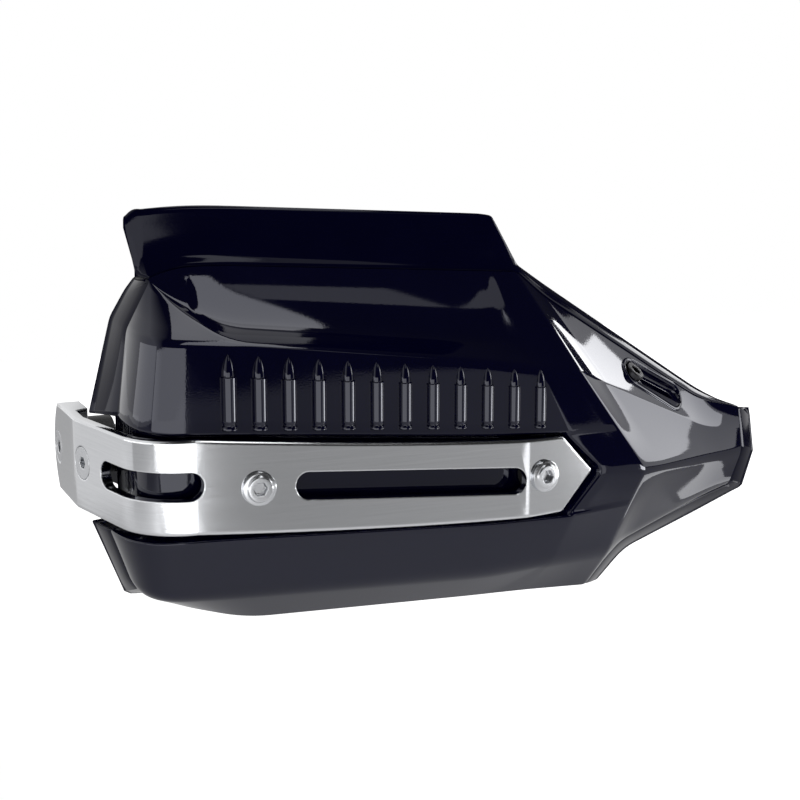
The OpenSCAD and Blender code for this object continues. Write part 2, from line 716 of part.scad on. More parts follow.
module rear_frame() {
    color("#1c1c22") difference() {
        union() {
            wall_between(frame_grid, frame_rear);
            aim(side_screw_at, side_in) {
                translate([-ear_h / 2, -ear_w / 2, strap_t + side_gap])
                    cube([ear_h, ear_w, ear_t]);
            }
            for (b = bolt_places)
                aim(b[0], b[1]) translate([0, 0, liner_front])
                    cylinder(r = liner_r, h = liner_end - liner_front);
            for (p = cover_screw_at)
                aim([p[0], shell_meet_back, p[1]])
                    cylinder(r = post_r + 1.5, h = shell_boss_end - shell_meet_back);
            on_ledge() translate([ledge_screw_shift, 0, -ledge_boss_end])
                cylinder(r = ledge_boss_r, h = ledge_boss_end - ledge_depth);
        }
        aim(side_screw_at, side_in) cylinder(r = screw_r + ease, h = side_screw_len);
        for (b = bolt_places)
            aim(b[0], b[1]) cylinder(r = screw_r + ease, h = liner_end + 1);
        for (p = cover_screw_at)
            aim([p[0], 20, p[1]]) cylinder(r = tap_r + ease, h = 20);
        on_ledge() translate([ledge_screw_shift, 0, 0]) {
            translate([0, 0, -ledge_depth - insert_len])
                cylinder(r = insert_r + thread_ease, h = 20);
            translate([0, 0, 1 - ledge_boss_end]) cylinder(r = ledge_screw_r + ease, h = 20);
        }
    }
}

// Strap: stations along its outer face as [x, back, inward x, inward back, thickness, top, bottom]
function bent_back(x) = max(0, x - strap_bend_x) * tan(strap_end_bend);
tip_z = strap_mid(strap_full_x);
tip_half = 1;
function point_share(x) = max(0, (x - strap_full_x) / strap_point);
function end_top(x) = lerp(strap_top(x), tip_z + tip_half, point_share(x));
function end_bottom(x) = lerp(strap_bottom(x), tip_z - tip_half, point_share(x));
function front_station(x, a) = [x, bent_back(x), -sin(a), cos(a), strap_t, end_top(x), end_bottom(x)];
function side_station(back, a, t, half) =
    [a < 90 ? side_face(back) : -boss_t, back, sin(a), cos(a), t, half, -half];
strap_half_h = strap_h / 2;
nose_mid = reach + nose_over - nose_r;
nose_start = acos(strap_half_h / nose_r);
boss_start = reach + nose_over - boss_len;

strap_stations = concat(
    [for (x = [strap_tip_x, strap_full_x, strap_bend_x + 2]) front_station(x, strap_end_bend)],
    [front_station(strap_bend_x, strap_end_bend / 2)],
    [for (k = [0:8]) front_station(lerp(strap_bend_x - 2, strap_flat_x, k / 8), 0)],
    [for (k = [1:12])
        let (a = strap_turn * k / 12)
        [strap_flat_x - strap_corner_r * sin(a), strap_corner_r * (1 - cos(a)), sin(a), cos(a),
            strap_t, strap_half_h, -strap_half_h]],
    [side_station(strap_side_bend - 0.7, strap_turn, strap_t, strap_half_h)],
    [for (b = [strap_side_bend + 2.5, boss_start - 1.5])
        side_station(b, 90, strap_t, strap_half_h)],
    [side_station(boss_start + 1.5, 90, boss_t, strap_half_h)],
    [for (k = [0:6])
        let (a = lerp(nose_start, 87, k / 6))
        side_station(nose_mid + nose_r * sin(a), 90, boss_t, nose_r * cos(a))]
);

function strap_ring(s) =
    let (
        c = min(strap_bevel, (s[5] - s[6]) / 4),
        d = c / 2,
        corners = [
            [0, s[5] - c], [c, s[5]], [s[4] - d, s[5]], [s[4], s[5] - d],
            [s[4], s[6] + d], [s[4] - d, s[6]], [c, s[6]], [0, s[6] + c]
        ]
    )
    [for (q = corners) [s[0] + q[0] * s[2], s[1] - reach + q[0] * s[3], q[1]]];

module strap_blank() {
    points = [for (s = strap_stations) each strap_ring(s)];
    n = len(strap_stations);
    faces = concat(
        [[for (i = [0:7]) i]],
        [for (j = [0:n - 2]) for (i = [0:7])
            each [[j * 8 + i, (j + 1) * 8 + i, (j + 1) * 8 + (i + 1) % 8],
                [j * 8 + i, (j + 1) * 8 + (i + 1) % 8, j * 8 + (i + 1) % 8]]],
        [[for (i = [7:-1:0]) (n - 1) * 8 + i]]
    );
    polyhedron(points, faces, convexity = 8);
}

slot_from = 59;
slot_to = 152.7;
slot_lift = 0.6;
corner_slot_x = 25;
corner_slot_back = side_screw_back - 15.5;

// Straight cut with round ends through the strap's front, from a to b as [x, z]
module front_slot(a, b, w) {
    r = w / 2;
    d = b - a;
    translate([a[0], -5 - reach, a[1]]) rotate([0, -atan2(d[1], d[0]), 0]) {
        for (x = [r, norm(d) - r]) translate([x, 0, 0]) rotate([-90, 0, 0]) cylinder(r = r, h = 15);
        translate([r, 0, -r]) cube([norm(d) - w, 15, w]);
    }
}

// Cut round the strap's corner: its front end, its side end and the bend between them
module corner_slot() {
    r = slot_h / 2;
    z = side_screw_z / 2;
    side_end = corner_slot_back - r;
    aim([corner_slot_x - r, -5, z]) cylinder(r = r, h = 15);
    aim([side_face(side_end), side_end, z] - 6 * side_in, side_in) cylinder(r = r, h = 16);
    difference() {
        translate([-20, -5 - reach, z - r]) cube([corner_slot_x - r + 20, side_end + 5, slot_h]);
        aim([side_face(side_end), side_end, z], side_in) translate([-10, 0, 4 - 30])
            cube([20, 20, 60]);
    }
}

// Countersunk screw along z with its head's face at 0
module sunk_cut(r, big) {
    translate([0, 0, -1]) cylinder(r = big, h = 1 + ease);
    translate([0, 0, ease]) cylinder(r1 = big, r2 = r, h = big - r);
    translate([0, 0, -1]) cylinder(r = r, h = 20);
}

// Socket for a hex key, cut from z = 0
sunk_hex = 4;
module hex_socket(across, deep) {
    translate([0, 0, -eps]) cylinder(r = across / 2 / cos(30), h = deep, $fn = 6);
}

module sunk_screw(r, big, len, hex) {
    difference() {
        union() {
            cylinder(r1 = big - ease, r2 = r - ease / 2, h = big - r);
            cylinder(r = r - ease, h = len);
        }
        hex_socket(hex, hex * 0.55);
    }
}

module guard_strap() {
    color("#b4b6ba") difference() {
        strap_blank();
        front_slot([slot_from, strap_mid(slot_from) + slot_lift],
            [slot_to, strap_mid(slot_to) - slot_lift], slot_h);
        corner_slot();
        for (b = bolt_places)
            aim(b[0], b[1]) translate([0, 0, -2]) cylinder(r = screw_r + ease, h = 10);
        aim(side_screw_at, side_in) sunk_cut(screw_r + ease, sunk_r);
        aim([-boss_t, reach, 0], [1, 0, 0]) sunk_cut(bar_screw_r + ease, sunk_r);
    }
}

// Flanged button-head bolt, with its head in front of z = 0
washer_t = 1.6;
bolt_len = liner_end + washer_t + nut_h + nut_lip + screw_over;
hex_w = 4.5;
flange_h = 1.1;
dome_low_h = 0.9;
dome_top_h = 1.2;
dome_low_r = head_r - 0.9;
dome_mid_r = head_r - 1.7;
dome_top_r = head_r - 2.9;
bolt_head_h = flange_h + dome_low_h + dome_top_h;
module flange_bolt(len) {
    difference() {
        union() {
            translate([0, 0, -flange_h]) cylinder(r = head_r, h = flange_h);
            translate([0, 0, -flange_h - dome_low_h])
                cylinder(r1 = dome_mid_r, r2 = dome_low_r, h = dome_low_h);
            translate([0, 0, -bolt_head_h])
                cylinder(r1 = dome_top_r, r2 = dome_mid_r, h = dome_top_h);
            cylinder(r = screw_r, h = len);
        }
        translate([0, 0, -bolt_head_h]) hex_socket(hex_w, bolt_head_h - 1);
    }
}

module outer_strap_bolt() {
    color("#b9bbc0") aim(bolt_places[0][0], bolt_places[0][1]) flange_bolt(bolt_len);
}

module inner_strap_bolt() {
    color("#b9bbc0") aim(bolt_places[1][0], bolt_places[1][1]) flange_bolt(bolt_len + arm_t);
}

module side_screw() {
    color("#8a8c92") aim(side_screw_at, side_in) sunk_screw(screw_r + ease, sunk_r, side_screw_len, sunk_hex);
}

bar_screw_r = 4;
bar_hex = 5;
bar_screw_over = 10;
module bar_end_bolt() {
    color("#8a8c92") aim([-boss_t, reach, 0], [1, 0, 0])
        sunk_screw(bar_screw_r + ease, sunk_r,
            boss_t + end_spacer_t + expander_len + bar_screw_over, bar_hex);
}

spacer_r = 4.9;
module side_spacer() {
    color("#18181c") aim(side_screw_at, side_in) translate([0, 0, strap_t])
        tube(spacer_r, screw_r + ease, side_gap);
}

ledge_washer_t = 0.8;
ledge_head_h = 2.6;
ledge_screw_deep = 9;
ledge_hex = 4;
module ledge_screw() {
    color("#7d7f86") on_ledge() translate([ledge_screw_shift, 0, -ledge_floor]) difference() {
        union() {
            translate([0, 0, ledge_washer_t]) cylinder(r = ledge_head_r, h = ledge_head_h);
            translate([0, 0, -ledge_screw_deep])
                cylinder(r = ledge_screw_r, h = ledge_screw_deep + 1);
        }
        translate([0, 0, 1]) hex_socket(ledge_hex, ledge_head_h + ledge_washer_t);
    }
}

module ledge_washer() {
    color("#8a8c92") on_ledge() translate([ledge_screw_shift, 0, -ledge_floor])
        tube(ledge_head_r + 0.3, ledge_screw_r + ease, ledge_washer_t);
}

// Threaded insert in the frame's boss under the ledge
module ledge_insert() {
    color("#b08a3c") on_ledge() translate([ledge_screw_shift, 0, -ledge_depth - insert_len])
        tube(insert_r, ledge_screw_r + thread_ease, insert_len);
}

// Hex nut with a round locking lip
module lock_nut() {
    difference() {
        union() {
            cylinder(r = nut_flats / 2 / cos(30), h = nut_h, $fn = 6);
            cylinder(r = nut_flats / 2 - 0.4, h = nut_h + nut_lip);
        }
        translate([0, 0, -eps]) cylinder(r = screw_r + thread_ease, h = nut_h + nut_lip + 1);
    }
}

// Bushes between the strap's inner face and the channel's floor
bush_r = 6.5;
module strap_bushes() {
    color("#151515") for (b = bolt_places) intersection() {
        aim(b[0], b[1]) translate([0, 0, strap_t]) tube(bush_r, screw_r + ease, 10);
        translate([0, -reach - 1, -60]) cube([220, channel_back + 0.9, 120]);
    }
}

// Sleeves between the cover's inner face and the frame's bosses
sleeve_r = 6;
module shell_sleeves() {
    color("#8f9196") for (b = bolt_places) difference() {
        aim(b[0], b[1]) translate([0, 0, 5]) tube(sleeve_r, screw_r + ease, liner_front - 5);
        translate([0, -reach - 1, -60])
            cube([220, channel_back + cover_wall + 1.1 + (b[0][0] > 100 ? 1.5 : 0), 120]);
    }
}

module strap_washers() {
    color("#8a8c92") {
        aim(bolt_places[0][0], bolt_places[0][1]) translate([0, 0, liner_end])
            tube(head_r, screw_r + ease, washer_t);
        aim(bolt_places[1][0], bolt_places[1][1]) translate([0, 0, liner_end + arm_t])
            tube(head_r, screw_r + ease, washer_t);
    }
}

module strap_nuts() {
    color("#8a8c92") {
        aim(bolt_places[0][0], bolt_places[0][1]) translate([0, 0, liner_end + washer_t])
            lock_nut();
        aim(bolt_places[1][0], bolt_places[1][1])
            translate([0, 0, liner_end + arm_t + washer_t]) lock_nut();
    }
}

module side_nut() {
    color("#8a8c92") aim(side_screw_at, side_in)
        translate([0, 0, strap_t + side_gap + ear_t]) lock_nut();
}

module on_bar(x) {
    translate([x, 0, 0]) rotate([0, 90, 0]) children();
}

// Spacer with a recess for the sleeve's flange, so that the handlebar's end rests on its face
spacer_edge = 0.5;
sleeve_flange_t = 1.5;
sleeve_flange_r = expander_r + 0.8;
module bar_end_spacer() {
    color("#17171a") on_bar(0) difference() {
        union() {
            cylinder(r = bar_r, h = end_spacer_t - spacer_edge);
            translate([0, 0, end_spacer_t - spacer_edge])
                cylinder(r1 = bar_r, r2 = bar_r - spacer_edge, h = spacer_edge);
        }
        translate([0, 0, -eps]) cylinder(r = bar_screw_r + ease, h = end_spacer_t);
        translate([0, 0, end_spacer_t - sleeve_flange_t])
            cylinder(r = sleeve_flange_r + ease, h = sleeve_flange_t + eps);
    }
}

// Sleeve with a plain collar, then a groove where its slotted fingers start to bend outwards
collar_len = 12;
groove_w = 1.5;
groove_deep = 0.6;
finger_slot = 2;
sleeve_mouth = 4;
module expander_sleeve() {
    color("#8a8c92") on_bar(end_spacer_t) difference() {
        union() {
            translate([0, 0, -sleeve_flange_t])
                cylinder(r = expander_r, h = sleeve_flange_t + expander_len);
            translate([0, 0, -sleeve_flange_t])
                cylinder(r = sleeve_flange_r, h = sleeve_flange_t);
        }
        translate([0, 0, -sleeve_flange_t - eps])
            cylinder(r = bar_screw_r + ease, h = sleeve_flange_t + expander_len + 1);
        translate([0, 0, expander_len - sleeve_mouth])
            cylinder(r1 = bar_screw_r + ease, r2 = expander_r - 1.2, h = sleeve_mouth + eps);
        translate([0, 0, collar_len]) tube(expander_r + 1, expander_r - groove_deep, groove_w);
        for (a = [0, 90]) rotate([0, 0, a])
            translate([-expander_r - 1, -finger_slot / 2, collar_len + groove_w / 2])
                cube([2 * expander_r + 2, finger_slot, expander_len]);
    }
}

cone_in = 2.5;
cone_len = 7;
module expander_cone() {
    color("#8a8c92") on_bar(end_spacer_t + expander_len - cone_in) difference() {
        union() {
            cylinder(r1 = bar_screw_r + 0.6, r2 = expander_r - 1.6, h = cone_in);
            translate([0, 0, cone_in]) cylinder(r = expander_r - 0.4, h = cone_len);
        }
        translate([0, 0, -eps])
            cylinder(r = bar_screw_r + thread_ease, h = cone_in + cone_len + 1);
    }
}

// Arm from the inner strap bolt to the clamp
arm_t = 5;
arm_h = 22;
arm_start = liner_end;
arm_at = inner_bolt_at + arm_start * bend_dir;
arm_screw_fwd = 23;
arm_end_fwd = 15;
arm_bend_fwd = 37;
arm_screw_back = reach - arm_screw_fwd;
arm_end_back = reach - arm_end_fwd;
arm_bend_back = reach - arm_bend_fwd;
arm_z = -4;
arm_front = [for (s = [-12, 23]) [arm_at[0] + s * cos(strap_end_bend),
    arm_at[1] + s * sin(strap_end_bend)]];
module bracket_arm() {
    bend_x = clamp_x - arm_t;
    slope = atan2(arm_bend_back - arm_front[1][1], clamp_x - arm_front[1][0]);
    outline = [
        arm_front[0],
        arm_front[1],
        [bend_x + arm_t, arm_bend_back],
        [bend_x + arm_t, arm_end_back],
        [bend_x, arm_end_back],
        [bend_x, arm_bend_back + arm_t * (1 - sin(slope)) / cos(slope)],
        arm_front[1] + arm_t * [-sin(strap_end_bend), cos(strap_end_bend)],
        arm_front[0] + arm_t * [-sin(strap_end_bend), cos(strap_end_bend)]
    ];
    color("#1a1a1e") difference() {
        translate([0, -reach, arm_z - arm_h / 2]) linear_extrude(height = arm_h) polygon(outline);
        aim(inner_bolt_at, bend_dir) cylinder(r = screw_r + ease, h = bolt_len + arm_t);
        aim([bend_x - arm_t, arm_screw_back, arm_z], [1, 0, 0])
            cylinder(r = screw_r + ease, h = 3 * arm_t);
    }
}

// Clamp round the handlebar
liner_wall = 1.5;
bar_ease = 0.1;
clamp_bore = bar_r + bar_ease + liner_wall + ease;
clamp_wall = 5;
clamp_outer = clamp_bore + clamp_wall;
clamp_split = 0.8;
clamp_screw_r = 2.5;
clamp_screw_z = clamp_outer + 4;
lug_edge = 4.5;
lug_back = 8;
pad_w = 16;
pad_over = 1;
module clamp_half(front) {
    side = front ? -1 : 1;
    difference() {
        union() {
            intersection() {
                on_bar(clamp_x) cylinder(r = clamp_outer, h = clamp_w);
                translate([clamp_x - 1, front ? -2 * clamp_outer : clamp_split, -clamp_outer])
                    cube([clamp_w + 2, 2 * clamp_outer - clamp_split, 2 * clamp_outer]);
            }
            translate([clamp_x, front ? -lug_back : clamp_split, -clamp_screw_z - lug_edge])
                cube([clamp_w, lug_back - clamp_split, 2 * (clamp_screw_z + lug_edge)]);
            if (front)
                translate([clamp_x, pad_over - arm_end_fwd - pad_w, arm_z - pad_w / 2])
                    cube([clamp_w, pad_w, pad_w]);
        }
        on_bar(clamp_x - 1) cylinder(r = clamp_bore, h = clamp_w + 2);
        for (z = [-clamp_screw_z, clamp_screw_z])
            translate([clamp_x + clamp_w / 2, 0, z]) rotate([90, 0, 0])
                translate([0, 0, -2 * lug_back]) cylinder(
                    r = clamp_screw_r + (front ? thread_ease : ease), h = 4 * lug_back);
        if (front)
            aim([clamp_x - 1, arm_screw_back, arm_z], [1, 0, 0])
                cylinder(r = screw_r + thread_ease, h = clamp_w + 2);
    }
}

module clamp_body() {
    color("#1a1a1e") clamp_half(true);
}

module clamp_cap() {
    color("#1a1a1e") clamp_half(false);
}

// Cap screw along z with its head below z = 0
module cap_screw(r, head, head_h, len, hex) {
    difference() {
        union() {
            translate([0, 0, -head_h]) cylinder(r = head, h = head_h);
            cylinder(r = r, h = len);
        }
        translate([0, 0, -head_h]) hex_socket(hex, hex * 0.6);
    }
}

clamp_head_r = 4.2;
clamp_head_h = 5;
clamp_hex = 4;
module clamp_screws() {
    color("#8a8c92") for (z = [-clamp_screw_z, clamp_screw_z])
        translate([clamp_x + clamp_w / 2, lug_back, z]) rotate([90, 0, 0])
            cap_screw(clamp_screw_r, clamp_head_r, clamp_head_h, 2 * lug_back - 1, clamp_hex);
}

liner_cut = 2;
module clamp_liner() {
    color("#151515") difference() {
        on_bar(clamp_x) tube(clamp_bore - ease, bar_r + bar_ease, clamp_w);
        translate([clamp_x - 1, -liner_cut / 2, 0]) cube([clamp_w + 2, liner_cut, clamp_outer]);
    }
}

arm_head_r = 5;
arm_head_h = 4;
arm_hex = 5;
module arm_screw() {
    color("#8a8c92") aim([clamp_x - arm_t, arm_screw_back, arm_z], [1, 0, 0])
        cap_screw(screw_r, arm_head_r, arm_head_h, arm_t + clamp_w - 2, arm_hex);
}

cover_head_r = 3.8;
cover_head_h = 2.4;
cover_screw_len = 17;
cover_hex = 3;
module cover_screws() {
    color("#8a8c92") for (p = cover_screw_at)
        aim([p[0], shell_boss_end, p[1]], [0, -1, 0])
            cap_screw(tap_r, cover_head_r, cover_head_h, cover_screw_len, cover_hex);
}

front_cover();
rear_frame();
guard_strap();
outer_strap_bolt();
inner_strap_bolt();
side_screw();
bar_end_bolt();
side_spacer();
ledge_screw();
strap_bushes();
shell_sleeves();
strap_washers();
strap_nuts();
side_nut();
bar_end_spacer();
expander_sleeve();
expander_cone();
bracket_arm();
ledge_washer();
ledge_insert();
clamp_body();
clamp_cap();
clamp_screws();
clamp_liner();
arm_screw();
cover_screws();
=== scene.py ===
"""Motorcycle hand guard: a glossy two-part shell held by a slotted metal strap."""
import math

import bmesh
import bpy
import numpy as np
from mathutils import Matrix, Quaternion, Vector


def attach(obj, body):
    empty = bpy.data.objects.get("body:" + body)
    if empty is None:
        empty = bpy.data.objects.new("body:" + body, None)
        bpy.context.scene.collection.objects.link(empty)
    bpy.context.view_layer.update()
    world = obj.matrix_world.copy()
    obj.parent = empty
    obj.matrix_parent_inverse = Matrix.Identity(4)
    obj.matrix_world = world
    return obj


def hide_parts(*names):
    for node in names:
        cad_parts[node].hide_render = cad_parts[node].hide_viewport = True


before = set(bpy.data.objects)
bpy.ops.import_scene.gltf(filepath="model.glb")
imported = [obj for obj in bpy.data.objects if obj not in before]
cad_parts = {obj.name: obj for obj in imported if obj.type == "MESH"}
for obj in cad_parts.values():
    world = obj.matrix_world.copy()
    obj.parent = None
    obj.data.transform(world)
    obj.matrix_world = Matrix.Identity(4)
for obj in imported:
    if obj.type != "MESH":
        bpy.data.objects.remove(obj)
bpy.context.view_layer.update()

# Distances are in millimetres in the shape functions: [inwards, back, up], where back counts
# from the strap's front face. MM and REACH turn them into the frame's metres.
MM = 0.001
REACH = 87.0


def lerp(a, b, t):
    """Straight blend of a and b."""
    return a + (b - a) * t


def unit(v):
    """Vectors scaled to length one."""
    return v / np.maximum(np.linalg.norm(v, axis=-1, keepdims=True), 1e-12)


def clamp01(t):
    """Values held between nought and one."""
    return np.clip(t, 0.0, 1.0)


def to_frame(points):
    """From [inwards, back, up] in millimetres to the frame's metres."""
    return (points - np.array([0.0, REACH, 0.0])) * MM


def lean(a, b, cut, share):
    """The point on the way from a to b at the distance cut, or at a share of the way if that is less."""
    d = b - a
    length = np.linalg.norm(d, axis=-1, keepdims=True)
    return a + np.minimum(cut, share * length) * d / np.maximum(length, 1e-9)


# A rounding takes at most these shares of the stretches beside it: of an end one, a middle one.
END_SHARE, MIDDLE_SHARE = 0.95, 0.48


def rounded_path(points, cuts, steps, turns):
    """Straight stretches a + t (b - a), and at each corner p the parabola
    (1-t)^2 a + 2t(1-t) p + t^2 b between the points a and b that lie cut away from it."""
    p = np.asarray(points, float)
    n = len(p) - 1
    before = [lean(p[i], p[i - 1], cuts[i - 1], END_SHARE if i == 1 else MIDDLE_SHARE)
              for i in range(1, n)]
    after = [lean(p[i], p[i + 1], cuts[i - 1], END_SHARE if i == n - 1 else MIDDLE_SHARE)
             for i in range(1, n)]
    column = (slice(None),) + (None,) * (p.ndim - 1)
    rows = []
    for i in range(n):
        a = p[0] if i == 0 else after[i - 1]
        b = p[n] if i == n - 1 else before[i]
        t = (np.arange(steps[i]) / steps[i])[column]
        rows.append(lerp(a, b, t))
        if i < n - 1:
            t = (np.arange(turns[i]) / turns[i])[column]
            rows.append((1 - t) ** 2 * b + 2 * t * (1 - t) * p[i + 1] + t * t * after[i])
    rows.append(p[n][None])
    return np.concatenate(rows)


def spread(values, steps, turns):
    """The rows' values over the samples of a rounded path: even along a stretch, held at a corner."""
    v = np.asarray(values, float)
    n = len(v) - 1
    rows = []
    for i in range(n):
        rows.append(lerp(v[i], v[i + 1], np.arange(steps[i]) / steps[i]))
        if i < n - 1:
            rows.append(np.full(turns[i], v[i + 1]))
    rows.append(v[n:])
    return np.concatenate(rows)


def cage_surface(cage, across, down):
    """Grid [across, down] of a cage of rows: a rounded path along each row, then down each column."""
    rows = rounded_path(np.swapaxes(cage, 0, 1), *across)
    return np.swapaxes(rounded_path(np.swapaxes(rows, 0, 1), *down), 0, 1)


def grid_faces(nj, ni, first=0, flip=False):
    """Four-sided faces over a grid of nj columns and ni rows, whose first vertex is first."""
    j, i = np.meshgrid(np.arange(nj - 1), np.arange(ni - 1), indexing="ij")
    a = (first + j * ni + i).ravel()
    quads = np.stack([a, a + 1, a + ni + 1, a + ni], axis=1)
    return quads[:, ::-1] if flip else quads


def strip_faces(a, b):
    """Faces between two lines of vertex numbers."""
    return np.stack([a[:-1], b[:-1], b[1:], a[1:]], axis=1)


def closed_wall(front, rear):
    """Vertices and faces of the wall between two grids, with its four edges closed."""
    nj, ni = front.shape[:2]
    total = nj * ni
    ids = np.arange(total).reshape(nj, ni)
    back = ids + total
    faces = np.concatenate([
        grid_faces(nj, ni),
        grid_faces(nj, ni, total, flip=True),
        strip_faces(back[0], ids[0]),
        strip_faces(ids[-1], back[-1]),
        strip_faces(ids[:, 0], back[:, 0]),
        strip_faces(back[:, -1], ids[:, -1]),
    ])
    return np.concatenate([front.reshape(-1, 3), rear.reshape(-1, 3)]), faces.tolist()


# The strap's sizes, and its middle line as a function of the distance inwards.
STRAP_T, STRAP_H, STRAP_END_H = 4.0, 34.5, 30.5
STRAP_DROP, STRAP_TIP, STRAP_POINT = 9.6, 184.0, 14.0
CORNER_R, LEAN_DEG, BEND_DEG, BEND_X = 23.5, 12.6, 11.0, 153.0
BOSS_T, BOSS_LEN, NOSE_R, NOSE_OVER = 9.0, 23.0, 25.0, 8.0
SLOT_H, SIDE_BEND = 10.5, 56.0
LEAN = math.radians(LEAN_DEG)
BEND = math.radians(BEND_DEG)
TURN = math.pi / 2 - LEAN
SIDE_ZERO = math.tan(LEAN) * SIDE_BEND - BOSS_T
FLAT_X = (CORNER_R * math.sin(TURN) - BOSS_T
          + math.tan(LEAN) * (SIDE_BEND - CORNER_R * (1 - math.cos(TURN))))
FULL_X = STRAP_TIP - STRAP_POINT


def side_face(back):
    """Distance inwards of the strap's outer side face: a line that leans out on its way back."""
    return SIDE_ZERO - math.tan(LEAN) * back


def strap_share(x):
    """How far along the strap's front x lies, from 0 at the corner to 1 at its point."""
    return clamp01((x - FLAT_X) / (FULL_X - FLAT_X))


def strap_mid(x):
    """Middle height: drops by STRAP_DROP, steeply at first: -drop (1 - (1 - s)^1.5)."""
    return -STRAP_DROP * (1 - (1 - strap_share(x)) ** 1.5)


def strap_half(x):
    """Half the height, an even blend from the corner's to the inner end's."""
    return lerp(STRAP_H, STRAP_END_H, strap_share(x)) / 2


# The front cover's cage: rows from the top edge down to the bottom edge, columns from the
# outer corner to the tail.
EDGE_BACK, FACE_BACK, CHANNEL_DEPTH = 28.0, 4.2, 4.5
COVER_TOP = np.array([
    [13.7, 28, 71.4], [22, 28, 74.6], [36, 28, 75.2], [140, 29.4, 68.6], [148, 29.6, 68.1],
    [152, 29.7, 67.8], [162, 30, 67.2], [174.5, 30, 56.6], [254, 37, 7.7], [276.3, 40, 2.3]])
CREASE = np.array([[162, 30, 67.2], [178.7, 6, 30.3], [210.7, 8, -12.6], [195.2, 10, -45.8]])
TAIL_RIDGE = np.array([[220, 12, -13.6], [258, 31.3, -16], [278.8, 40, -17.8]])
TAIL_LOW = np.array([[208.3, 20, -44.3], [257.4, 36, -34.2], [273, 40, -31.5]])
TAIL_SWELL = np.array([[0.6], [0.1], [0.0]])
CREASE_TURN = 0.46
FACE_START, FACE_END = 36, 140


def crease(t):
    """Point on the crease: three straight stretches, to t = CREASE_TURN, 1 and 2."""
    if t < CREASE_TURN:
        return lerp(CREASE[0], CREASE[1], t / CREASE_TURN)
    if t < 1:
        return lerp(CREASE[1], CREASE[2], (t - CREASE_TURN) / (1 - CREASE_TURN))
    return lerp(CREASE[2], CREASE[3], t - 1)


def tail(t):
    """Three tail points of a row: a blend of the edge and the ridge, swollen with the crease."""
    if t < 1:
        swell = crease(t) - lerp(CREASE[0], CREASE[2], t)
        return list(lerp(COVER_TOP[7:], TAIL_RIDGE, t) + TAIL_SWELL * swell)
    return list(lerp(TAIL_RIDGE, TAIL_LOW, t - 1))


def face_row(edge, corner, z_mid, z_far, x_end, back, rise, t, fall=0.0):
    """A row of the face: side edge, corner, face, the channel's end, the crease and the tail."""
    c = crease(t)
    out = x_end + 3
    z_out = lerp(z_far, c[2], (out - x_end) / (c[0] - x_end))
    return [edge, corner, [FACE_START, corner[1], lerp(corner[2], z_mid, 0.2)], [FACE_END, back, z_mid],
            [x_end, back + fall, z_far], [out, back - rise, z_out], c] + tail(t)


def cover_cage():
    """The cover's eleven rows: edge, scoop, lip, face, the strap's channel, face, bottom edge."""
    deep = FACE_BACK + CHANNEL_DEPTH
    rise = CHANNEL_DEPTH - 0.2
    top = STRAP_H / 2 + 2.5
    side, floor = 1.2, 1.2 + CHANNEL_DEPTH - 0.4

    def upper(x):
        return strap_mid(x) + strap_half(x) + 1.2

    def lower(x):
        return strap_mid(x) - strap_half(x) - 2.2

    rows = [
        list(COVER_TOP),
        [[14, 27.9, 71], [20, 25.5, 66], [36, 22.5, 56.5], [140, 22.5, 47],
         [150, 21.8, 48], [156, 20.6, 48.6], crease(0.23)] + tail(0.23),
        [[14.3, 27.7, 70.4], [17.6, 23.5, 65], [36.5, 5.5, 50.4], [140, 4.8, 37.1],
         [158, 5.4, 33.9], [165, 5.6, 32.7], crease(CREASE_TURN)] + tail(CREASE_TURN),
        face_row([5.5, EDGE_BACK, 53.6], [4.6, 4.6, 52.8], 35.4, 32, 158, FACE_BACK, 0, 0.485),
        face_row([side, EDGE_BACK, top + 2.8], [1, FACE_BACK, top],
                 upper(FACE_END), upper(171), 171, FACE_BACK, 0, 0.745),
        face_row([floor, EDGE_BACK, top + 0.8], [floor, deep, top - 1.5],
                 upper(FACE_END) - 1.5, upper(170) - 1.5, 170, deep, rise, 0.775),
        face_row([floor, EDGE_BACK, 0], [floor, deep, 0],
                 strap_mid(FACE_END), strap_mid(186), 186, deep, rise, 1, 2.4),
        face_row([floor, EDGE_BACK, 1.5 - top], [floor, deep, 1.5 - top],
                 lower(FACE_END) + 1.5, lower(172) + 1.5, 172, deep, rise, 1.36),
        face_row([-2.7, EDGE_BACK, 0.1 - top], [-1.5, FACE_BACK, -top],
                 lower(FACE_END), lower(173), 173, FACE_BACK, 0, 1.42),
        face_row([4.3, EDGE_BACK - 1, -40.4], [3, 8, -42.5], -47.8, -46.6, 165, 7.7, 0, 2),
        [[7, 24, -42.3], [14, 22, -47.5], [46, 22, -57.4], [140, 22, -60.6],
         [150, 22, -60.8], [165, 22, -61.2], [191.6, 22, -62.4],
         [207, 21.5, -45.6], [257.6, 38, -35], [273.2, 41.5, -32]],
    ]
    return np.array(rows, float)


CUTS_ACROSS = [26, 10, 8, 1, 1, 1.5, 6, 8]
CUTS_DOWN = [30, 1.5, 2, 0.7, 0.7, 4, 0.7, 0.7, 4]
COVER_ACROSS = (CUTS_ACROSS, [4, 4, 14, 2, 2, 4, 5, 26, 8], [20, 6, 8, 3, 3, 4, 8, 8])
COVER_DOWN = (CUTS_DOWN, [6, 5, 3, 6, 3, 4, 4, 3, 10, 6], [16, 6, 6, 4, 4, 10, 4, 4, 12])
CORNER_TILT = [-30, -30, -30, -12, 0, 0, 0, 0, 0, 30, 38]
FACE_TILT = [-50, -50, -12, -12, 0, 0, 0, 0, 0, 30, 38]
TAIL_TILT = [-45, -38, -34, -33, -30, -28, -4, 18, 20, 26, 34]
COVER_WALL = 3.0


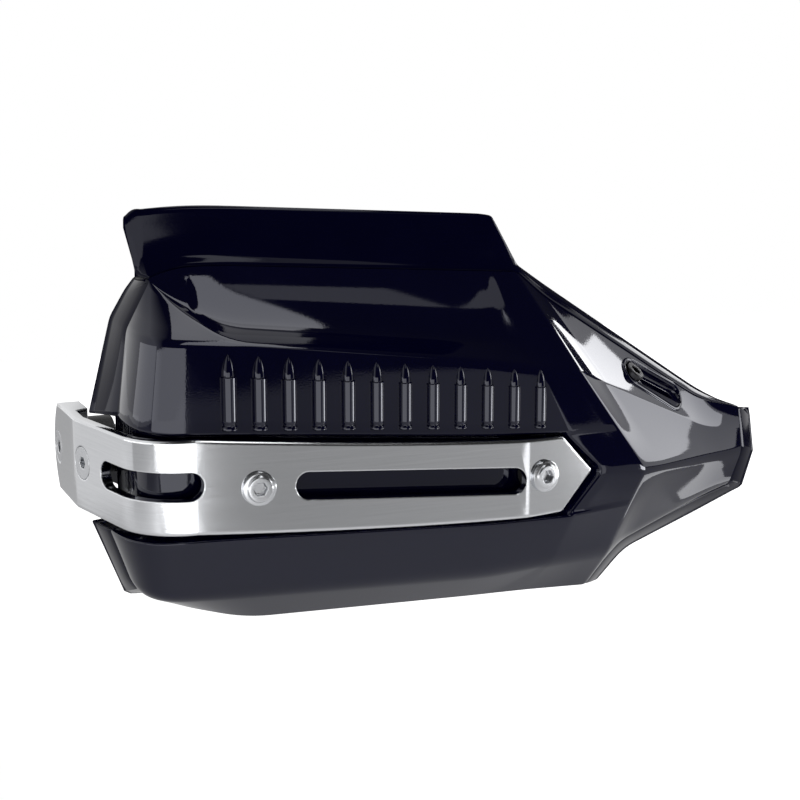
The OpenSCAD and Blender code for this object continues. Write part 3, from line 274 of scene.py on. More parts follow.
def inward(grid, row, down):
    """Way into the wall: square to one row seen from above, tilted by each row's own angle,
    which blends from the outer corner's to the face's and then to the tail's."""
    _, steps, turns = down
    at = grid[:, row, :2]
    tangent = np.gradient(at, axis=0)
    m = unit(np.stack([-tangent[:, 1], tangent[:, 0]], axis=1))
    x = grid[:, 0, 0]
    u = clamp01((x - 14) / 22)[:, None]
    v = clamp01((x - 164) / 20)[:, None]
    tilt = lerp(lerp(spread(CORNER_TILT, steps, turns), spread(FACE_TILT, steps, turns), u),
                spread(TAIL_TILT, steps, turns), v)
    q = np.radians(tilt)
    return np.stack([m[:, :1] * np.cos(q), m[:, 1:] * np.cos(q), np.sin(q)], axis=2)


def face_start(down):
    """Number of the first sample on the face below the scoop's lip."""
    return sum(down[1][:3]) + sum(down[2][:3])


def cover_sheets():
    """The cover's front sheet and the sheet one wall behind it."""
    front = cage_surface(cover_cage(), COVER_ACROSS, COVER_DOWN)
    return front, front + COVER_WALL * inward(front, face_start(COVER_DOWN), COVER_DOWN)


# The rear frame: a sheet that runs from the curled top of the wind deflector down to the
# cover's edge, on behind the cover, and out to the rim round the tail and the outer end.
FRAME_WALL, FIN_H, RIM_BACK = 2.5, 22.0, 46.0
FRAME_ACROSS = (CUTS_ACROSS, [3, 3, 10, 2, 1, 3, 3, 16, 5], [8, 4, 3, 2, 2, 3, 4, 4])
FRAME_DOWN = (CUTS_DOWN, [4, 3, 2, 4, 2, 3, 3, 2, 5, 3], [6, 3, 3, 2, 2, 4, 2, 2, 5])
FIN_TOP = np.array([[13, 3.2], [22, 0.7], [36, 0.2], [140, 0.9], [147, 0.9], [152, 0.4]])
TAIL_RIM = np.array([[165.3, 35.2, 69.2], [178.5, 38, 60.8], [258, 44.6, 10.8], [279, 47.2, 0.8]])
RIM_SHARES = np.array([0, 0.1, 0.22, 0.36, 0.5, 0.68, 1])
RIM_BULGE = 0.8 * np.array([0.4, -0.5, 0.7])
EAR_GAP = 7.0


def ear_face(back):
    """Face of the frame's ear, a line beside the strap's inner face."""
    return side_face(back) + (STRAP_T + EAR_GAP) / math.cos(LEAN)


def fin_columns():
    """Seven points down the wind deflector at each of six places: the curl, the face, the foot."""
    foot = COVER_TOP[:6]
    x, z = FIN_TOP[:, 0], foot[:, 2] + FIN_H + FIN_TOP[:, 1]
    back = EDGE_BACK + 3
    rows = [
        np.stack([x, np.full(6, back + 3.6), z - 2.6], axis=1),
        np.stack([x, np.full(6, back + 1.5), z], axis=1),
        np.stack([x, np.full(6, back - 0.2), z - 1.5], axis=1),
        np.stack([x, np.full(6, back + 0.4), z - 4.2], axis=1),
        np.stack([lerp(x, foot[:, 0], 0.8), np.full(6, back + 0.2), foot[:, 2] + 5.5], axis=1),
        foot + [0, 2.2, 2.4],
        foot + [0, 0.5, 0.8],
    ]
    return np.stack(rows, axis=1)


def rim_columns():
    """Seven points across the rim round the tail: a blend with a ridge in its middle."""
    inner = COVER_TOP[6:] + [0, 0.35, 0.3]
    t = RIM_SHARES[None, :, None]
    return lerp(TAIL_RIM[:, None], inner[:, None], t) + RIM_BULGE * (1 - np.abs(2 * t - 1))


def outer_end(back, pairs):
    """Line down the frame's outer end at one distance back, as rows of [x, height]."""
    return np.array([[x, back, z] for x, z in pairs], float)


def patch(loop):
    """The surface that a loop of four edges spans: the sum of both blends less the corners'."""
    top, bottom, left, right = loop
    u = np.linspace(0, 1, len(top))[:, None, None]
    v = np.linspace(0, 1, len(left))[None, :, None]
    sides = lerp(top[:, None], bottom[:, None], v) + lerp(left[None], right[None], u)
    return sides - lerp(lerp(top[0], top[-1], u), lerp(bottom[0], bottom[-1], u), v)


def even_line(line, middle):
    """Even steps from a line's start to its middle sample, and on to its end."""
    n = len(line) - 1
    first = lerp(line[0], line[middle], np.linspace(0, 1, middle + 1)[:, None])
    last = lerp(line[middle], line[n], np.linspace(0, 1, n - middle + 1)[:, None])
    return np.concatenate([first, last[1:]])


# The frame's outer lines: the tail's end, the bottom edge, and the deflector's outer end with
# how far each of its points rises on the way in.
TIP_LINE = np.array([[288.4, 48, -4], [290.85, 48, -20], [286, 48, -34.4]])
TIP_CORNER = np.array([287.5, 48, -0.2])
LOW_LINE = np.array([
    [12, RIM_BACK, -50.6], [22, RIM_BACK - 2, -52.4], [46, 40, -58.6], [140, 36, -61.4],
    [150, 36, -61.6], [176, 35.5, -62.8], [204.5, 35, -66.1], [218.6, 36.6, -53.9],
    [258, 45, -44.4], [281, 48, -37.4]])
FIN_END = np.array([
    [7.6, 35, -0.8], [7.1, 33.6, -0.2], [6.7, 32.8, -1.2], [6.6, 32.6, -4]])
FIN_END += [0, 0, COVER_TOP[0, 2] + FIN_H]
FIN_END = np.concatenate([FIN_END, [[9.6, 33, 77.8], [10.3, 33, 74.2], [10.3, 33, 71.8]]])
FIN_END_RISE = np.array([1.4, 1.5, 1.4, 1, 0.2, 0, 0])
RIDGE_ROW = sum(FRAME_DOWN[1][:6]) + sum(FRAME_DOWN[2][:5])
LOW_ROWS = np.linspace(0, 1, 4)[1:, None]


def behind_cover():
    """The cover's rim moved back by a gap, and the patch one wall behind it. The gap grows at
    the outer end's top and foot, and at the tail."""
    rim = cage_surface(cover_cage(), FRAME_ACROSS, FRAME_DOWN)
    inner = rim + COVER_WALL * inward(rim, face_start(FRAME_DOWN), FRAME_DOWN)
    for grid in (rim, inner):
        grid[-1] = even_line(grid[-1], RIDGE_ROW)
    u = np.linspace(0, 1, rim.shape[0])[:, None]
    v = np.linspace(0, 1, rim.shape[1])[None, :]
    at_top, at_foot = clamp01(1 - v * 4.7), clamp01((v - 1) * 4.7 + 1)
    at_outer, at_tail = clamp01(1 - u * 7.6), clamp01((u - 1) * 7.6 + 1)
    back = 1 + 5 * at_top * at_outer + 4 * at_foot * at_outer + 2 * at_tail + (v == 1)
    gap = np.stack([0.5 * at_tail + 0 * v, 0.3 * back, 0 * back], axis=2)
    seat = inner + gap
    return rim + gap, patch((seat[:, 0], seat[:, -1], seat[0], seat[-1]))


def outer_lines():
    """Lines down the frame's outer end: its rear edge, and a ridge in front of that edge."""
    notch = STRAP_H / 2 + 1.9
    rear, front = RIM_BACK, RIM_BACK - 9
    ear, ear_front = ear_face(rear), ear_face(front)
    edge = outer_end(rear, [
        (12.6, 69.6), (10, 66.5), (8.4, 64), (3.6, 56), (-5.4, notch + 1.6), (ear, notch),
        (ear, 0), (ear, -notch), (-5.7, -notch - 1), (4.6, -46.4), (5.6, -49)])
    ridge = outer_end(front, [
        (12.9, 70.4), (11, 67.5), (9.4, 65), (4.3, 55.2), (-2.8, notch + 2.6),
        (ear_front, notch + 0.8), (ear_front, 0), (ear_front, -notch - 0.4),
        (-4.6, -notch - 1.4), (3.8, -44), (5.8, -46.2)])
    return rounded_path(edge, *FRAME_DOWN), rounded_path(ridge, *FRAME_DOWN)


def outer_columns(top, rim):
    """Columns of the outer end from its rear edge in to the cover: each is a blend of the
    deflector's end, a line down the side, and a blend down to the bottom edge."""
    edge, ridge = outer_lines()
    lip = rim[0].copy()
    lip[0] = lerp(lip[0], lip[1], 0.4)
    lip[-1] = lerp(lip[-1], lip[-2], 0.4)
    columns = []
    for share, side, t in ((0, edge, 0), (0.3, ridge, 1 / 3), (0.62, lip, 2 / 3)):
        head = lerp(FIN_END, top[0], share)
        head[:, 2] += FIN_END_RISE * math.sin(math.pi * share)
        a = lerp(side[-1], rim[0, -1], t)
        b = lerp(LOW_LINE[0] - [4, 0, -0.3], LOW_LINE[0] - [1, 0, 0], t)
        columns.append(np.concatenate([head, side, lerp(a, b, LOW_ROWS)]))
    return np.stack(columns)


def tail_columns(top, rim, low_end):
    """Columns of the tail's end from the cover out to its edge, blended in the same way."""
    ni = rim.shape[1]
    edge = np.concatenate([
        lerp(TIP_LINE[0], TIP_LINE[1], np.linspace(0, 1, RIDGE_ROW + 1)[:, None]),
        lerp(TIP_LINE[1], TIP_LINE[2], np.linspace(0, 1.05, ni - RIDGE_ROW)[:, None])[1:]])
    ridge = (rim[-1] + edge) / 2 + [0.7, -0.3, 0]
    columns = []
    for side, u in ((rim[-1], 0.06), (ridge, 0.5), (edge, 1.0)):
        a = lerp(top[-1, 0], TIP_CORNER, u)
        b = lerp(top[-1, 6], lerp(TIP_CORNER, TIP_LINE[0], 0.85), u)
        head = lerp(a, b, RIM_SHARES[:, None])
        a = lerp(rim[-1, -1], edge[-1], u)
        b = lerp(low_end, edge[-1] - [1.6, 0, 1.2], u)
        columns.append(np.concatenate([head, side, lerp(a, b, LOW_ROWS)]))
    return np.stack(columns)


def frame_sheet():
    """Front sheet of the frame as one grid [across, down]: the outer end's columns, the ones
    from the deflector down behind the cover to the bottom edge, and the tail's."""
    rim, middle = behind_cover()
    top = rounded_path(np.concatenate([fin_columns(), rim_columns()]), *FRAME_ACROSS)
    low_lip, low_edge = rim[:, -1], rounded_path(LOW_LINE, *FRAME_ACROSS)
    low_ridge = (low_lip + low_edge) / 2 + [0, 0, -0.5]
    body = np.concatenate(
        [top, middle, low_lip[:, None], low_ridge[:, None], low_edge[:, None]], axis=1)
    return np.concatenate([outer_columns(top, rim), body, tail_columns(top, rim, low_edge[-1])])


def evened(directions, times):
    """Directions averaged with their four neighbours, several times over."""
    d = directions
    for _ in range(times):
        p = np.pad(d, ((1, 1), (1, 1), (0, 0)), mode="edge")
        d = unit(2 * d + p[2:, 1:-1] + p[:-2, 1:-1] + p[1:-1, 2:] + p[1:-1, :-2])
    return d


def frame_rear(front, low_from):
    """The sheet one wall behind: square to the front sheet, thinner in the curl, and straight
    back along the fold under the cover's bottom edge."""
    square = unit(np.cross(np.gradient(front, axis=0), np.gradient(front, axis=1)))
    step = evened(square, 8)
    step[:, :3] *= np.array([0.25, 0.4, 0.7])[None, :, None]
    fold = np.array([[0, 1, 0.36], [0, 2.04, 1], [0, 0, 1], [0, -0.2, 1]])
    x = front[:, low_from + 1, 0]
    share = (clamp01((200 - x) / 12) * clamp01((x - 10) / 12))[:, None, None]
    step[:, low_from:] = lerp(step[:, low_from:], fold[None], share)
    return front + FRAME_WALL * step


RING_POINTS = 96


def round_angles(count):
    """Even angles once round."""
    return np.linspace(0, 2 * np.pi, count, endpoint=False)


def circle(angles):
    """Points of a circle of radius one at these angles."""
    return np.stack([np.cos(angles), np.sin(angles)], axis=1)


def revolved(profile, count):
    """Vertices and faces of a profile [radius, height] turned about the z axis: at each angle
    the radius times its cosine and sine. Both end rings are closed."""
    p = np.asarray(profile, float)
    xy = p[:, None, :1] * circle(round_angles(count))[None]
    z = np.broadcast_to(p[:, 1][:, None, None], (len(p), count, 1))
    return ringed(np.concatenate([xy, z], axis=2))


def ringed(rings):
    """Vertices and faces of a skin over rings of points, with both end rings closed."""
    n, m = rings.shape[:2]
    ids = np.arange(n * m).reshape(n, m)
    nxt = np.roll(ids, -1, axis=1)
    quads = np.stack([ids[:-1], nxt[:-1], nxt[1:], ids[1:]], axis=2).reshape(-1, 4)
    ends = [ids[0][::-1].tolist(), ids[-1].tolist()]
    return rings.reshape(-1, 3), quads.tolist() + ends


def joined(*parts):
    """Several [vertices, faces] as one."""
    verts, faces, total = [], [], 0
    for v, f in parts:
        verts.append(v)
        faces += [[q + total for q in face] for face in f]
        total += len(v)
    return np.concatenate(verts), faces


def placed(points, at, way):
    """Points moved from their own z axis to a place [inwards, back, up], with z along way."""
    w = unit(np.asarray(way, float))
    helper = np.array([0.0, 0.0, 1.0]) if abs(w[2]) < 0.9 else np.array([1.0, 0.0, 0.0])
    side = unit(np.cross(helper, w))
    other = np.cross(w, side)
    return np.asarray(at, float) + points[:, :1] * side + points[:, 1:2] * other + points[:, 2:] * w


def set_at(shape, at, way):
    """A shape of [vertices, faces] moved to a place, with its z axis along way."""
    return placed(shape[0], at, way), shape[1]


def slot_ring(half_len, r):
    """Outline of a slot with round ends: straight sides of two half_len, ends of radius r."""
    a = round_angles(RING_POINTS)
    return np.stack([r * np.cos(a) + np.where(np.cos(a) > 0, half_len, -half_len) *
                     (np.abs(np.cos(a)) > 1e-9), r * np.sin(a)], axis=1)


# Twelve raised ribs: a turned profile with a groove and a rim at its foot, a shoulder and a
# slender pointed top, sunk a little into the cover's face.
RIB_COUNT, RIB_PITCH, RIB_H, RIB_W, RIB_TAPER = 12, 11.3, 27.2, 5.9, 0.83
RIB_FIRST_X, RIB_FIRST_Z, RIB_LAST_Z = 35.8, 19.0, 9.7
RIB_SUNK, RIB_POINTS = 0.4, 40


def rib_profile(h, w):
    """Radius against height: foot rim, groove, straight body, a small step, and a slender ogive
    whose radius falls as 1 - t squared, to the power 0.75."""
    r = w / 2
    t = np.linspace(0.0, 1.0, 18)
    ogive = np.stack([0.78 * r * (1 - t ** 2) ** 0.75, (0.712 + 0.288 * t) * h], axis=1)
    body = [[0, 0], [0.93 * r, 0], [r, 0.008 * h], [r, 0.05 * h], [0.97 * r, 0.056 * h],
            [0.86 * r, 0.064 * h], [0.86 * r, 0.086 * h], [r, 0.112 * h], [r, 0.13 * h],
            [r, 0.685 * h], [r, 0.7 * h], [0.96 * r, 0.706 * h]]
    ogive[-1, 0] = 0
    return np.concatenate([body, ogive])


def rib_row():
    """All the ribs as one mesh, side by side, each lower and slimmer than the last."""
    ribs = []
    for k in range(RIB_COUNT):
        share = k / (RIB_COUNT - 1)
        s = lerp(1, RIB_TAPER, share)
        foot = [RIB_FIRST_X + k * RIB_PITCH, FACE_BACK + RIB_SUNK,
                lerp(RIB_FIRST_Z, RIB_LAST_Z, share)]
        verts, faces = revolved(rib_profile(RIB_H * s, RIB_W * s), RIB_POINTS)
        ribs.append((verts + foot, faces))
    return joined(*ribs)


# The ledge near the tail's upper edge: a long pocket with a screw and a slot in its floor.
LEDGE_AT = np.array([227.4, 28.1, 19.8])
LEDGE_OUT = unit(np.array([0.45, -0.5, 0.742]))
LEDGE_ALONG = unit(np.array([0.87, 0.12, -0.447]))
LEDGE_AXES = np.stack([LEDGE_ALONG, np.cross(LEDGE_OUT, LEDGE_ALONG), LEDGE_OUT])
LEDGE_LEN, LEDGE_W, LEDGE_RIM, LEDGE_FLOOR = 38.0, 13.0, 1.8, 4.0
LEDGE_SCREW = -12.2
LEDGE_SLOT = (-6.5, 11.0, 4.4)


def on_ledge(points):
    """From the ledge's own [along, across, out] to [inwards, back, up]."""
    return LEDGE_AT + points @ LEDGE_AXES


# The strap's first stations, close together where its point begins
TIP_X_STEPS = np.array([STRAP_TIP, STRAP_TIP - 0.5, 177.0, FULL_X + 0.5, FULL_X - 0.5, 160.0])


def strap_path():
    """The strap's outer face from its point round the corner to the handlebar: distance
    inwards, back, and the way into the metal. Straight, an arc 1 - cos, and straight again."""
    x = np.concatenate([
        TIP_X_STEPS, [BEND_X + 2, BEND_X + 0.6], np.linspace(BEND_X - 0.6, FLAT_X, 40)])
    a = np.where(x > BEND_X, BEND, 0.0)
    front = np.stack([x, np.maximum(0, x - BEND_X) * math.tan(BEND), -np.sin(a), np.cos(a)], axis=1)
    a = TURN * np.linspace(0, 1, 49)[1:]
    bend = np.stack([FLAT_X - CORNER_R * np.sin(a), CORNER_R * (1 - np.cos(a)),
                     np.sin(a), np.cos(a)], axis=1)
    start = REACH + NOSE_OVER - BOSS_LEN
    back = np.concatenate([
        np.linspace(bend[-1, 1] + 2, SIDE_BEND - 0.7, 6), [SIDE_BEND + 2.5, start - 1.5]])
    a = np.where(back < SIDE_BEND, TURN, math.pi / 2)
    side = np.stack([np.where(back < SIDE_BEND, side_face(back), -BOSS_T), back,
                     np.sin(a), np.cos(a)], axis=1)
    nose_mid = REACH + NOSE_OVER - NOSE_R
    turn = np.linspace(math.acos(STRAP_H / 2 / NOSE_R), math.radians(88), 24)
    back = np.concatenate([[start + 1.5], nose_mid + NOSE_R * np.sin(turn)])
    nose = np.stack([np.full(25, -BOSS_T), back, np.ones(25), np.zeros(25)], axis=1)
    half = np.concatenate([[STRAP_H / 2], NOSE_R * np.cos(turn)])
    return front, np.concatenate([bend, side]), nose, half


def strap_line():
    """The strap's path from its point to the end of its side, and the length along it."""
    path = np.concatenate(strap_path()[:2])
    steps = np.linalg.norm(np.diff(path[:, :2], axis=0), axis=1)
    return path, np.concatenate([[0], np.cumsum(steps)])


def strap_stations():
    """Path, thickness, top and bottom at each station: the point tapers evenly to its tip."""
    front, side, nose, nose_half = strap_path()
    x = front[:, 0]
    point = np.maximum(0, (x - FULL_X) / STRAP_POINT)
    tip = strap_mid(FULL_X)
    top = lerp(strap_mid(x) + strap_half(x), tip + 1, point)
    bottom = lerp(strap_mid(x) - strap_half(x), tip - 1, point)
    half = np.full(len(side), STRAP_H / 2)
    path = np.concatenate([front, side, nose])
    thick = np.concatenate([np.full(len(front) + len(side), STRAP_T), np.full(len(nose), BOSS_T)])
    return (path, thick, np.concatenate([top, half, nose_half]),
            np.concatenate([bottom, -half, -nose_half]))


def strap_rings():
    """Cross-sections of the strap: round edges, wider on the outer face, and a line beside
    each edge that keeps the faces flat."""
    path, t, top, bottom = strap_stations()
    c = np.minimum(0.9, (top - bottom) / 4)[:, None]
    d = c / 2
    a = np.linspace(0, np.pi / 2, 5)[None]
    up, down = a, a[:, ::-1]
    t, top, bottom = t[:, None], top[:, None], bottom[:, None]
    flat = 0 * top
    depth = np.concatenate([
        flat, c * (1 - np.cos(up)), t - d * (1 - np.cos(down)), t + flat, t + flat,
        t - d * (1 - np.cos(up)), c * (1 - np.cos(down)), flat], axis=1)
    height = np.concatenate([
        top - 1.6 * c, top - c * (1 - np.sin(up)), top - d * (1 - np.sin(down)),
        top - 1.6 * c, bottom + 1.6 * c, bottom + d * (1 - np.sin(up)),
        bottom + c * (1 - np.sin(down)), bottom + 1.6 * c], axis=1)
    return np.stack([path[:, :1] + depth * path[:, 2:3], path[:, 1:2] + depth * path[:, 3:],
                     height], axis=2)


def slot_cut(start, end, z_start, z_end):
    """A slot with round ends that follows the strap's path: its half height is r along the
    middle and the root of r squared less the distance squared at each end."""
    path, length = strap_line()
    r = SLOT_H / 2
    a = np.linspace(0.02, np.pi / 2, 20)
    s = np.concatenate([start + r * (1 - np.cos(a)), np.linspace(start + r, end - r, 60)[1:-1],
                        (end - r * (1 - np.cos(a)))[::-1]])
    half = np.concatenate([r * np.sin(a), np.full(58, r), r * np.sin(a)[::-1]])[:, None]
    x, back, dx, dy = (np.interp(s, length, path[:, k])[:, None] for k in range(4))
    mid = lerp(z_start, z_end, (s - start) / (end - start))[:, None]
    depth = np.array([[-3.0, -3.0, STRAP_T + 3, STRAP_T + 3]])
    sign = np.array([[-1.0, 1.0, 1.0, -1.0]])
    return np.stack([x + depth * dx, back + depth * dy, mid + sign * half], axis=2)


def along_strap(x=None, back=None):
    """Length along the strap's path at a distance inwards, or at a distance back on its side."""
    path, length = strap_line()
    if x is not None:
        return float(np.interp(-x, -path[:, 0], length))
    return float(np.interp(back, path[:, 1][-40:], length[-40:]))


def hexagon(across):
    """Outline of a hexagon at the same angles as a circle's: half the flats over the cosine."""
    a = round_angles(RING_POINTS)
    r = across / 2 / np.cos((a % (np.pi / 3)) - np.pi / 6)
    return np.stack([r * np.cos(a), r * np.sin(a)], axis=1)


def socket_screw(profile, socket, depth, top):
    """A turned profile of [radius, height], whose last ring leads over a chamfer into a
    hexagonal socket with a flat floor; the sign of its depth is the sign of z outside it."""
    outline = circle(round_angles(RING_POINTS))
    rings = [np.column_stack([r * outline, np.full(RING_POINTS, float(z))]) for r, z in profile]
    way = math.copysign(1, depth)
    hexes = [(socket + 0.5, top), (socket, top - 0.3 * way), (socket, top - depth),
             (socket - 0.6, top - depth - 0.25 * way)]
    rings += [np.column_stack([hexagon(w), np.full(RING_POINTS, float(z))]) for w, z in hexes]
    return ringed(np.stack(rings))


SHARP_DEG = 35


def new_object(name, data):
    """An object of a mesh, a lamp or a camera, put into the scene."""
    item = bpy.data.objects.new(name, data)
    bpy.context.scene.collection.objects.link(item)
    return item


def new_mesh(name, verts, faces, turn_out=False):
    """A mesh in the frame's metres; turn_out makes its faces point outwards."""
    mesh = bpy.data.meshes.new(name)
    mesh.from_pydata(to_frame(verts).tolist(), [], faces)
    if turn_out:
        work = bmesh.new()
        work.from_mesh(mesh)
        bmesh.ops.recalc_face_normals(work, faces=work.faces)
        work.to_mesh(mesh)
        work.free()
    return mesh


def make_piece(name, shape, material, node, turn_out=False, sharp=SHARP_DEG):
    """A piece that takes a node's place, smooth except where its faces meet at a sharp angle."""
    mesh = new_mesh(name, *shape, turn_out)
    finish_mesh(mesh, sharp)
    piece = new_object(name, mesh)
    mesh.materials.append(material)
    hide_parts(node)
    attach(piece, "root")
    return piece


def finish_mesh(mesh, sharp):
    """Smooth faces, with the edges over an angle kept sharp."""
    mesh.validate()
    mesh.polygons.foreach_set("use_smooth", np.ones(len(mesh.polygons), bool))
    mesh.set_sharp_from_angle(angle=math.radians(sharp))
    mesh.update()


def cut_away(piece, cutters):
    """Takes closed shapes of [vertices, faces] out of a piece and keeps the result as its mesh."""
    for k, shape in enumerate(cutters):
        mesh = new_mesh(f"{piece.name}_cut_{k}", *shape, turn_out=True)
        cutter = new_object(mesh.name, mesh)
        cut = piece.modifiers.new("cut", "BOOLEAN")
        cut.operation, cut.solver, cut.object = "DIFFERENCE", "EXACT", cutter
        done = bpy.data.meshes.new_from_object(
            piece.evaluated_get(bpy.context.evaluated_depsgraph_get()))
        piece.modifiers.clear()
        old, piece.data = piece.data, done
        bpy.data.meshes.remove(old)
        bpy.data.objects.remove(cutter)
        bpy.data.meshes.remove(mesh)
    finish_mesh(piece.data, SHARP_DEG)


def surface_height(sheet):
    """Height of the cover's surface over the ledge's plane, as a quadratic fit to the samples
    round it."""
    def terms(x, y):
        return np.stack([np.ones_like(x), x, y, x * x, x * y, y * y], axis=1)

    p = (sheet.reshape(-1, 3) - LEDGE_AT) @ LEDGE_AXES.T
    near = p[(np.abs(p[:, 0]) < 26) & (np.abs(p[:, 1]) < 9) & (np.abs(p[:, 2]) < 14)]
    fit = np.linalg.lstsq(terms(near[:, 0], near[:, 1]), near[:, 2], rcond=None)[0]
    return lambda x, y: terms(x, y) @ fit


def ledge_cup(sheet):
    """Pocket near the tail's edge: rings from its underside over a raised lip, down the wall
    and over the floor into the slot."""
    height = surface_height(sheet)
    half = (LEDGE_LEN - LEDGE_W) / 2
    outer, inner = LEDGE_W / 2, LEDGE_W / 2 - LEDGE_RIM

    def ring(r, z=None, above=0.0, at=0.0, reach=half):
        xy = slot_ring(reach, r) + [at, 0]
        level = np.full(len(xy), z) if z is not None else height(xy[:, 0], xy[:, 1]) + above
        return np.column_stack([xy, level])

    a, b, w = LEDGE_SLOT
    middle, reach, r = (a + w / 2 + b) / 2, (b - a - w / 2) / 2, w / 2
    deep = -LEDGE_FLOOR
    rings = [
        ring(outer - 0.9, deep - 2.5), ring(outer - 0.4, deep - 2), ring(outer - 0.3, above=-0.7),
        ring(outer - 0.1, above=0.1), ring(outer - 0.3, above=0.5), ring(outer - 0.8, above=0.8),
        ring(outer - 1.4, above=0.75), ring(inner, above=0.3), ring(inner, above=-0.4),
        ring(inner, deep + 1), ring(inner - 0.25, deep + 0.3), ring(inner - 0.9, deep),
        ring(r + 0.6, deep, at=middle, reach=reach), ring(r + 0.1, deep - 0.15, at=middle, reach=reach),
        ring(r, deep - 0.5, at=middle, reach=reach), ring(r, deep - 2, at=middle, reach=reach)]
    verts, faces = ringed(np.stack(rings))
    return on_ledge(verts), faces


def ledge_cutter():
    """Straight-sided plug that opens the cover's wall for the pocket."""
    xy = slot_ring((LEDGE_LEN - LEDGE_W) / 2, LEDGE_W / 2 - 0.6)
    rings = [np.column_stack([xy, np.full(len(xy), z)]) for z in (-9.0, 12.0)]
    verts, faces = ringed(np.stack(rings))
    return on_ledge(verts), faces


def tube(outer, bore, start, end):
    """Turned tube along z, closed by a thin web at its start, open and chamfered at its end."""
    return revolved([[bore, start], [outer, start], [outer, end - 0.4], [outer - 0.4, end],
                     [bore + 0.3, end], [bore, end - 0.3], [bore, start + 0.1]], 48)


def rounded_plate(half_x, half_y, r, start, end):
    """Plate with quarter-circle corners of radius r and chamfered edges, from start to end
    along z: each corner's circle is moved out to its own corner."""
    round_points = circle(round_angles(64) + np.pi / 64)
    corners = np.sign(round_points) * [half_x - r, half_y - r]
    rings = [np.column_stack([corners + (r - cut) * round_points, np.full(64, z)])
             for cut, z in ((0.4, start), (0.0, start + 0.4), (0.0, end - 0.4), (0.4, end))]
    return ringed(np.stack(rings))


# Node helpers for the materials.
def new_material(name):
    """An empty node material with its output."""
    m = bpy.data.materials.new(name)
    m.use_nodes = True
    m.node_tree.nodes.clear()
    out = m.node_tree.nodes.new("ShaderNodeOutputMaterial")
    return m, m.node_tree, out


def add(tree, kind, **settings):
    """A node with its settings; inputs are given by their socket's name or number."""
    node = tree.nodes.new(kind)
    for key, value in settings.items():
        if key == "inputs":
            for name, v in value.items():
                if isinstance(v, bpy.types.NodeSocket):
                    tree.links.new(v, node.inputs[name])
                else:
                    node.inputs[name].default_value = v
        else:
            setattr(node, key, value)
    return node


def maths(tree, operation, *values):
    """What a Math node makes of its values."""
    node = add(tree, "ShaderNodeMath", operation=operation, inputs=dict(enumerate(values)))
    return node.outputs[0]


def noise(tree, vector, scale, detail=2.0):
    """A noise texture on a vector."""
    return add(tree, "ShaderNodeTexNoise", inputs={
        "Vector": vector, "Scale": scale, "Detail": detail})


def ranged(tree, value, low, high, to_low=0.0, to_high=1.0):
    """A value moved from one range to another."""
    node = add(tree, "ShaderNodeMapRange", inputs={
        "Value": value, "From Min": low, "From Max": high, "To Min": to_low, "To Max": to_high})
    return node.outputs["Result"]


def mix_colors(tree, factor, a, b):
    """Colour blend of a and b."""
    node = add(tree, "ShaderNodeMix", data_type="RGBA", inputs={0: factor})
    for index, value in ((6, a), (7, b)):
        if isinstance(value, bpy.types.NodeSocket):
            tree.links.new(value, node.inputs[index])
        else:
            node.inputs[index].default_value = (*value, 1.0)
    return node.outputs[2]


def mix_values(tree, factor, a, b):
    """Blend of the values a and b."""
    return add(tree, "ShaderNodeMix", data_type="FLOAT", inputs={0: factor, 2: a, 3: b}).outputs[0]


def shader_group(name, inputs, outputs):
    """A node group with named inputs (name: default) and outputs (name: socket type)."""
    group = bpy.data.node_groups.new(name, "ShaderNodeTree")
    for label, value in inputs.items():
        kind = "NodeSocketVector" if isinstance(value, tuple) else "NodeSocketFloat"
        item = group.interface.new_socket(label, in_out="INPUT", socket_type=kind)
        item.default_value = value
    for label, kind in outputs.items():
        group.interface.new_socket(label, in_out="OUTPUT", socket_type=kind)
    return group, group.nodes.new("NodeGroupInput"), group.nodes.new("NodeGroupOutput")


def surface_marks_group():
    """Mottle, fine grain and hairline scratches, all from Object coordinates in metres."""
    group, gin, gout = shader_group(
        "surface_marks",
        {"Vector": (0.0, 0.0, 0.0), "Mottle Scale": 60.0, "Grain Scale": 1500.0,
         "Scratch Scale": 220.0},
        {"Mottle": "NodeSocketFloat", "Grain": "NodeSocketFloat", "Scratches": "NodeSocketFloat"})
    mottle = noise(group, gin.outputs["Vector"], gin.outputs["Mottle Scale"], 4.0)
    grain = noise(group, gin.outputs["Vector"], gin.outputs["Grain Scale"])
    bent = noise(group, gin.outputs["Vector"], 25.0)
    shift = add(group, "ShaderNodeVectorMath", operation="MULTIPLY_ADD", inputs={
        0: bent.outputs["Color"], 1: (0.03, 0.03, 0.03), 2: gin.outputs["Vector"]})
    lines = add(group, "ShaderNodeTexVoronoi", feature="DISTANCE_TO_EDGE", inputs={
        "Vector": shift.outputs[0], "Scale": gin.outputs["Scratch Scale"]})
    thin = ranged(group, lines.outputs["Distance"], 0.0, 0.012, 1.0, 0.0)
    patches = ranged(group, mottle.outputs["Fac"], 0.55, 0.7)
    group.links.new(mottle.outputs["Fac"], gout.inputs["Mottle"])
    group.links.new(grain.outputs["Fac"], gout.inputs["Grain"])
    group.links.new(maths(group, "MULTIPLY", thin, patches), gout.inputs["Scratches"])
    return group


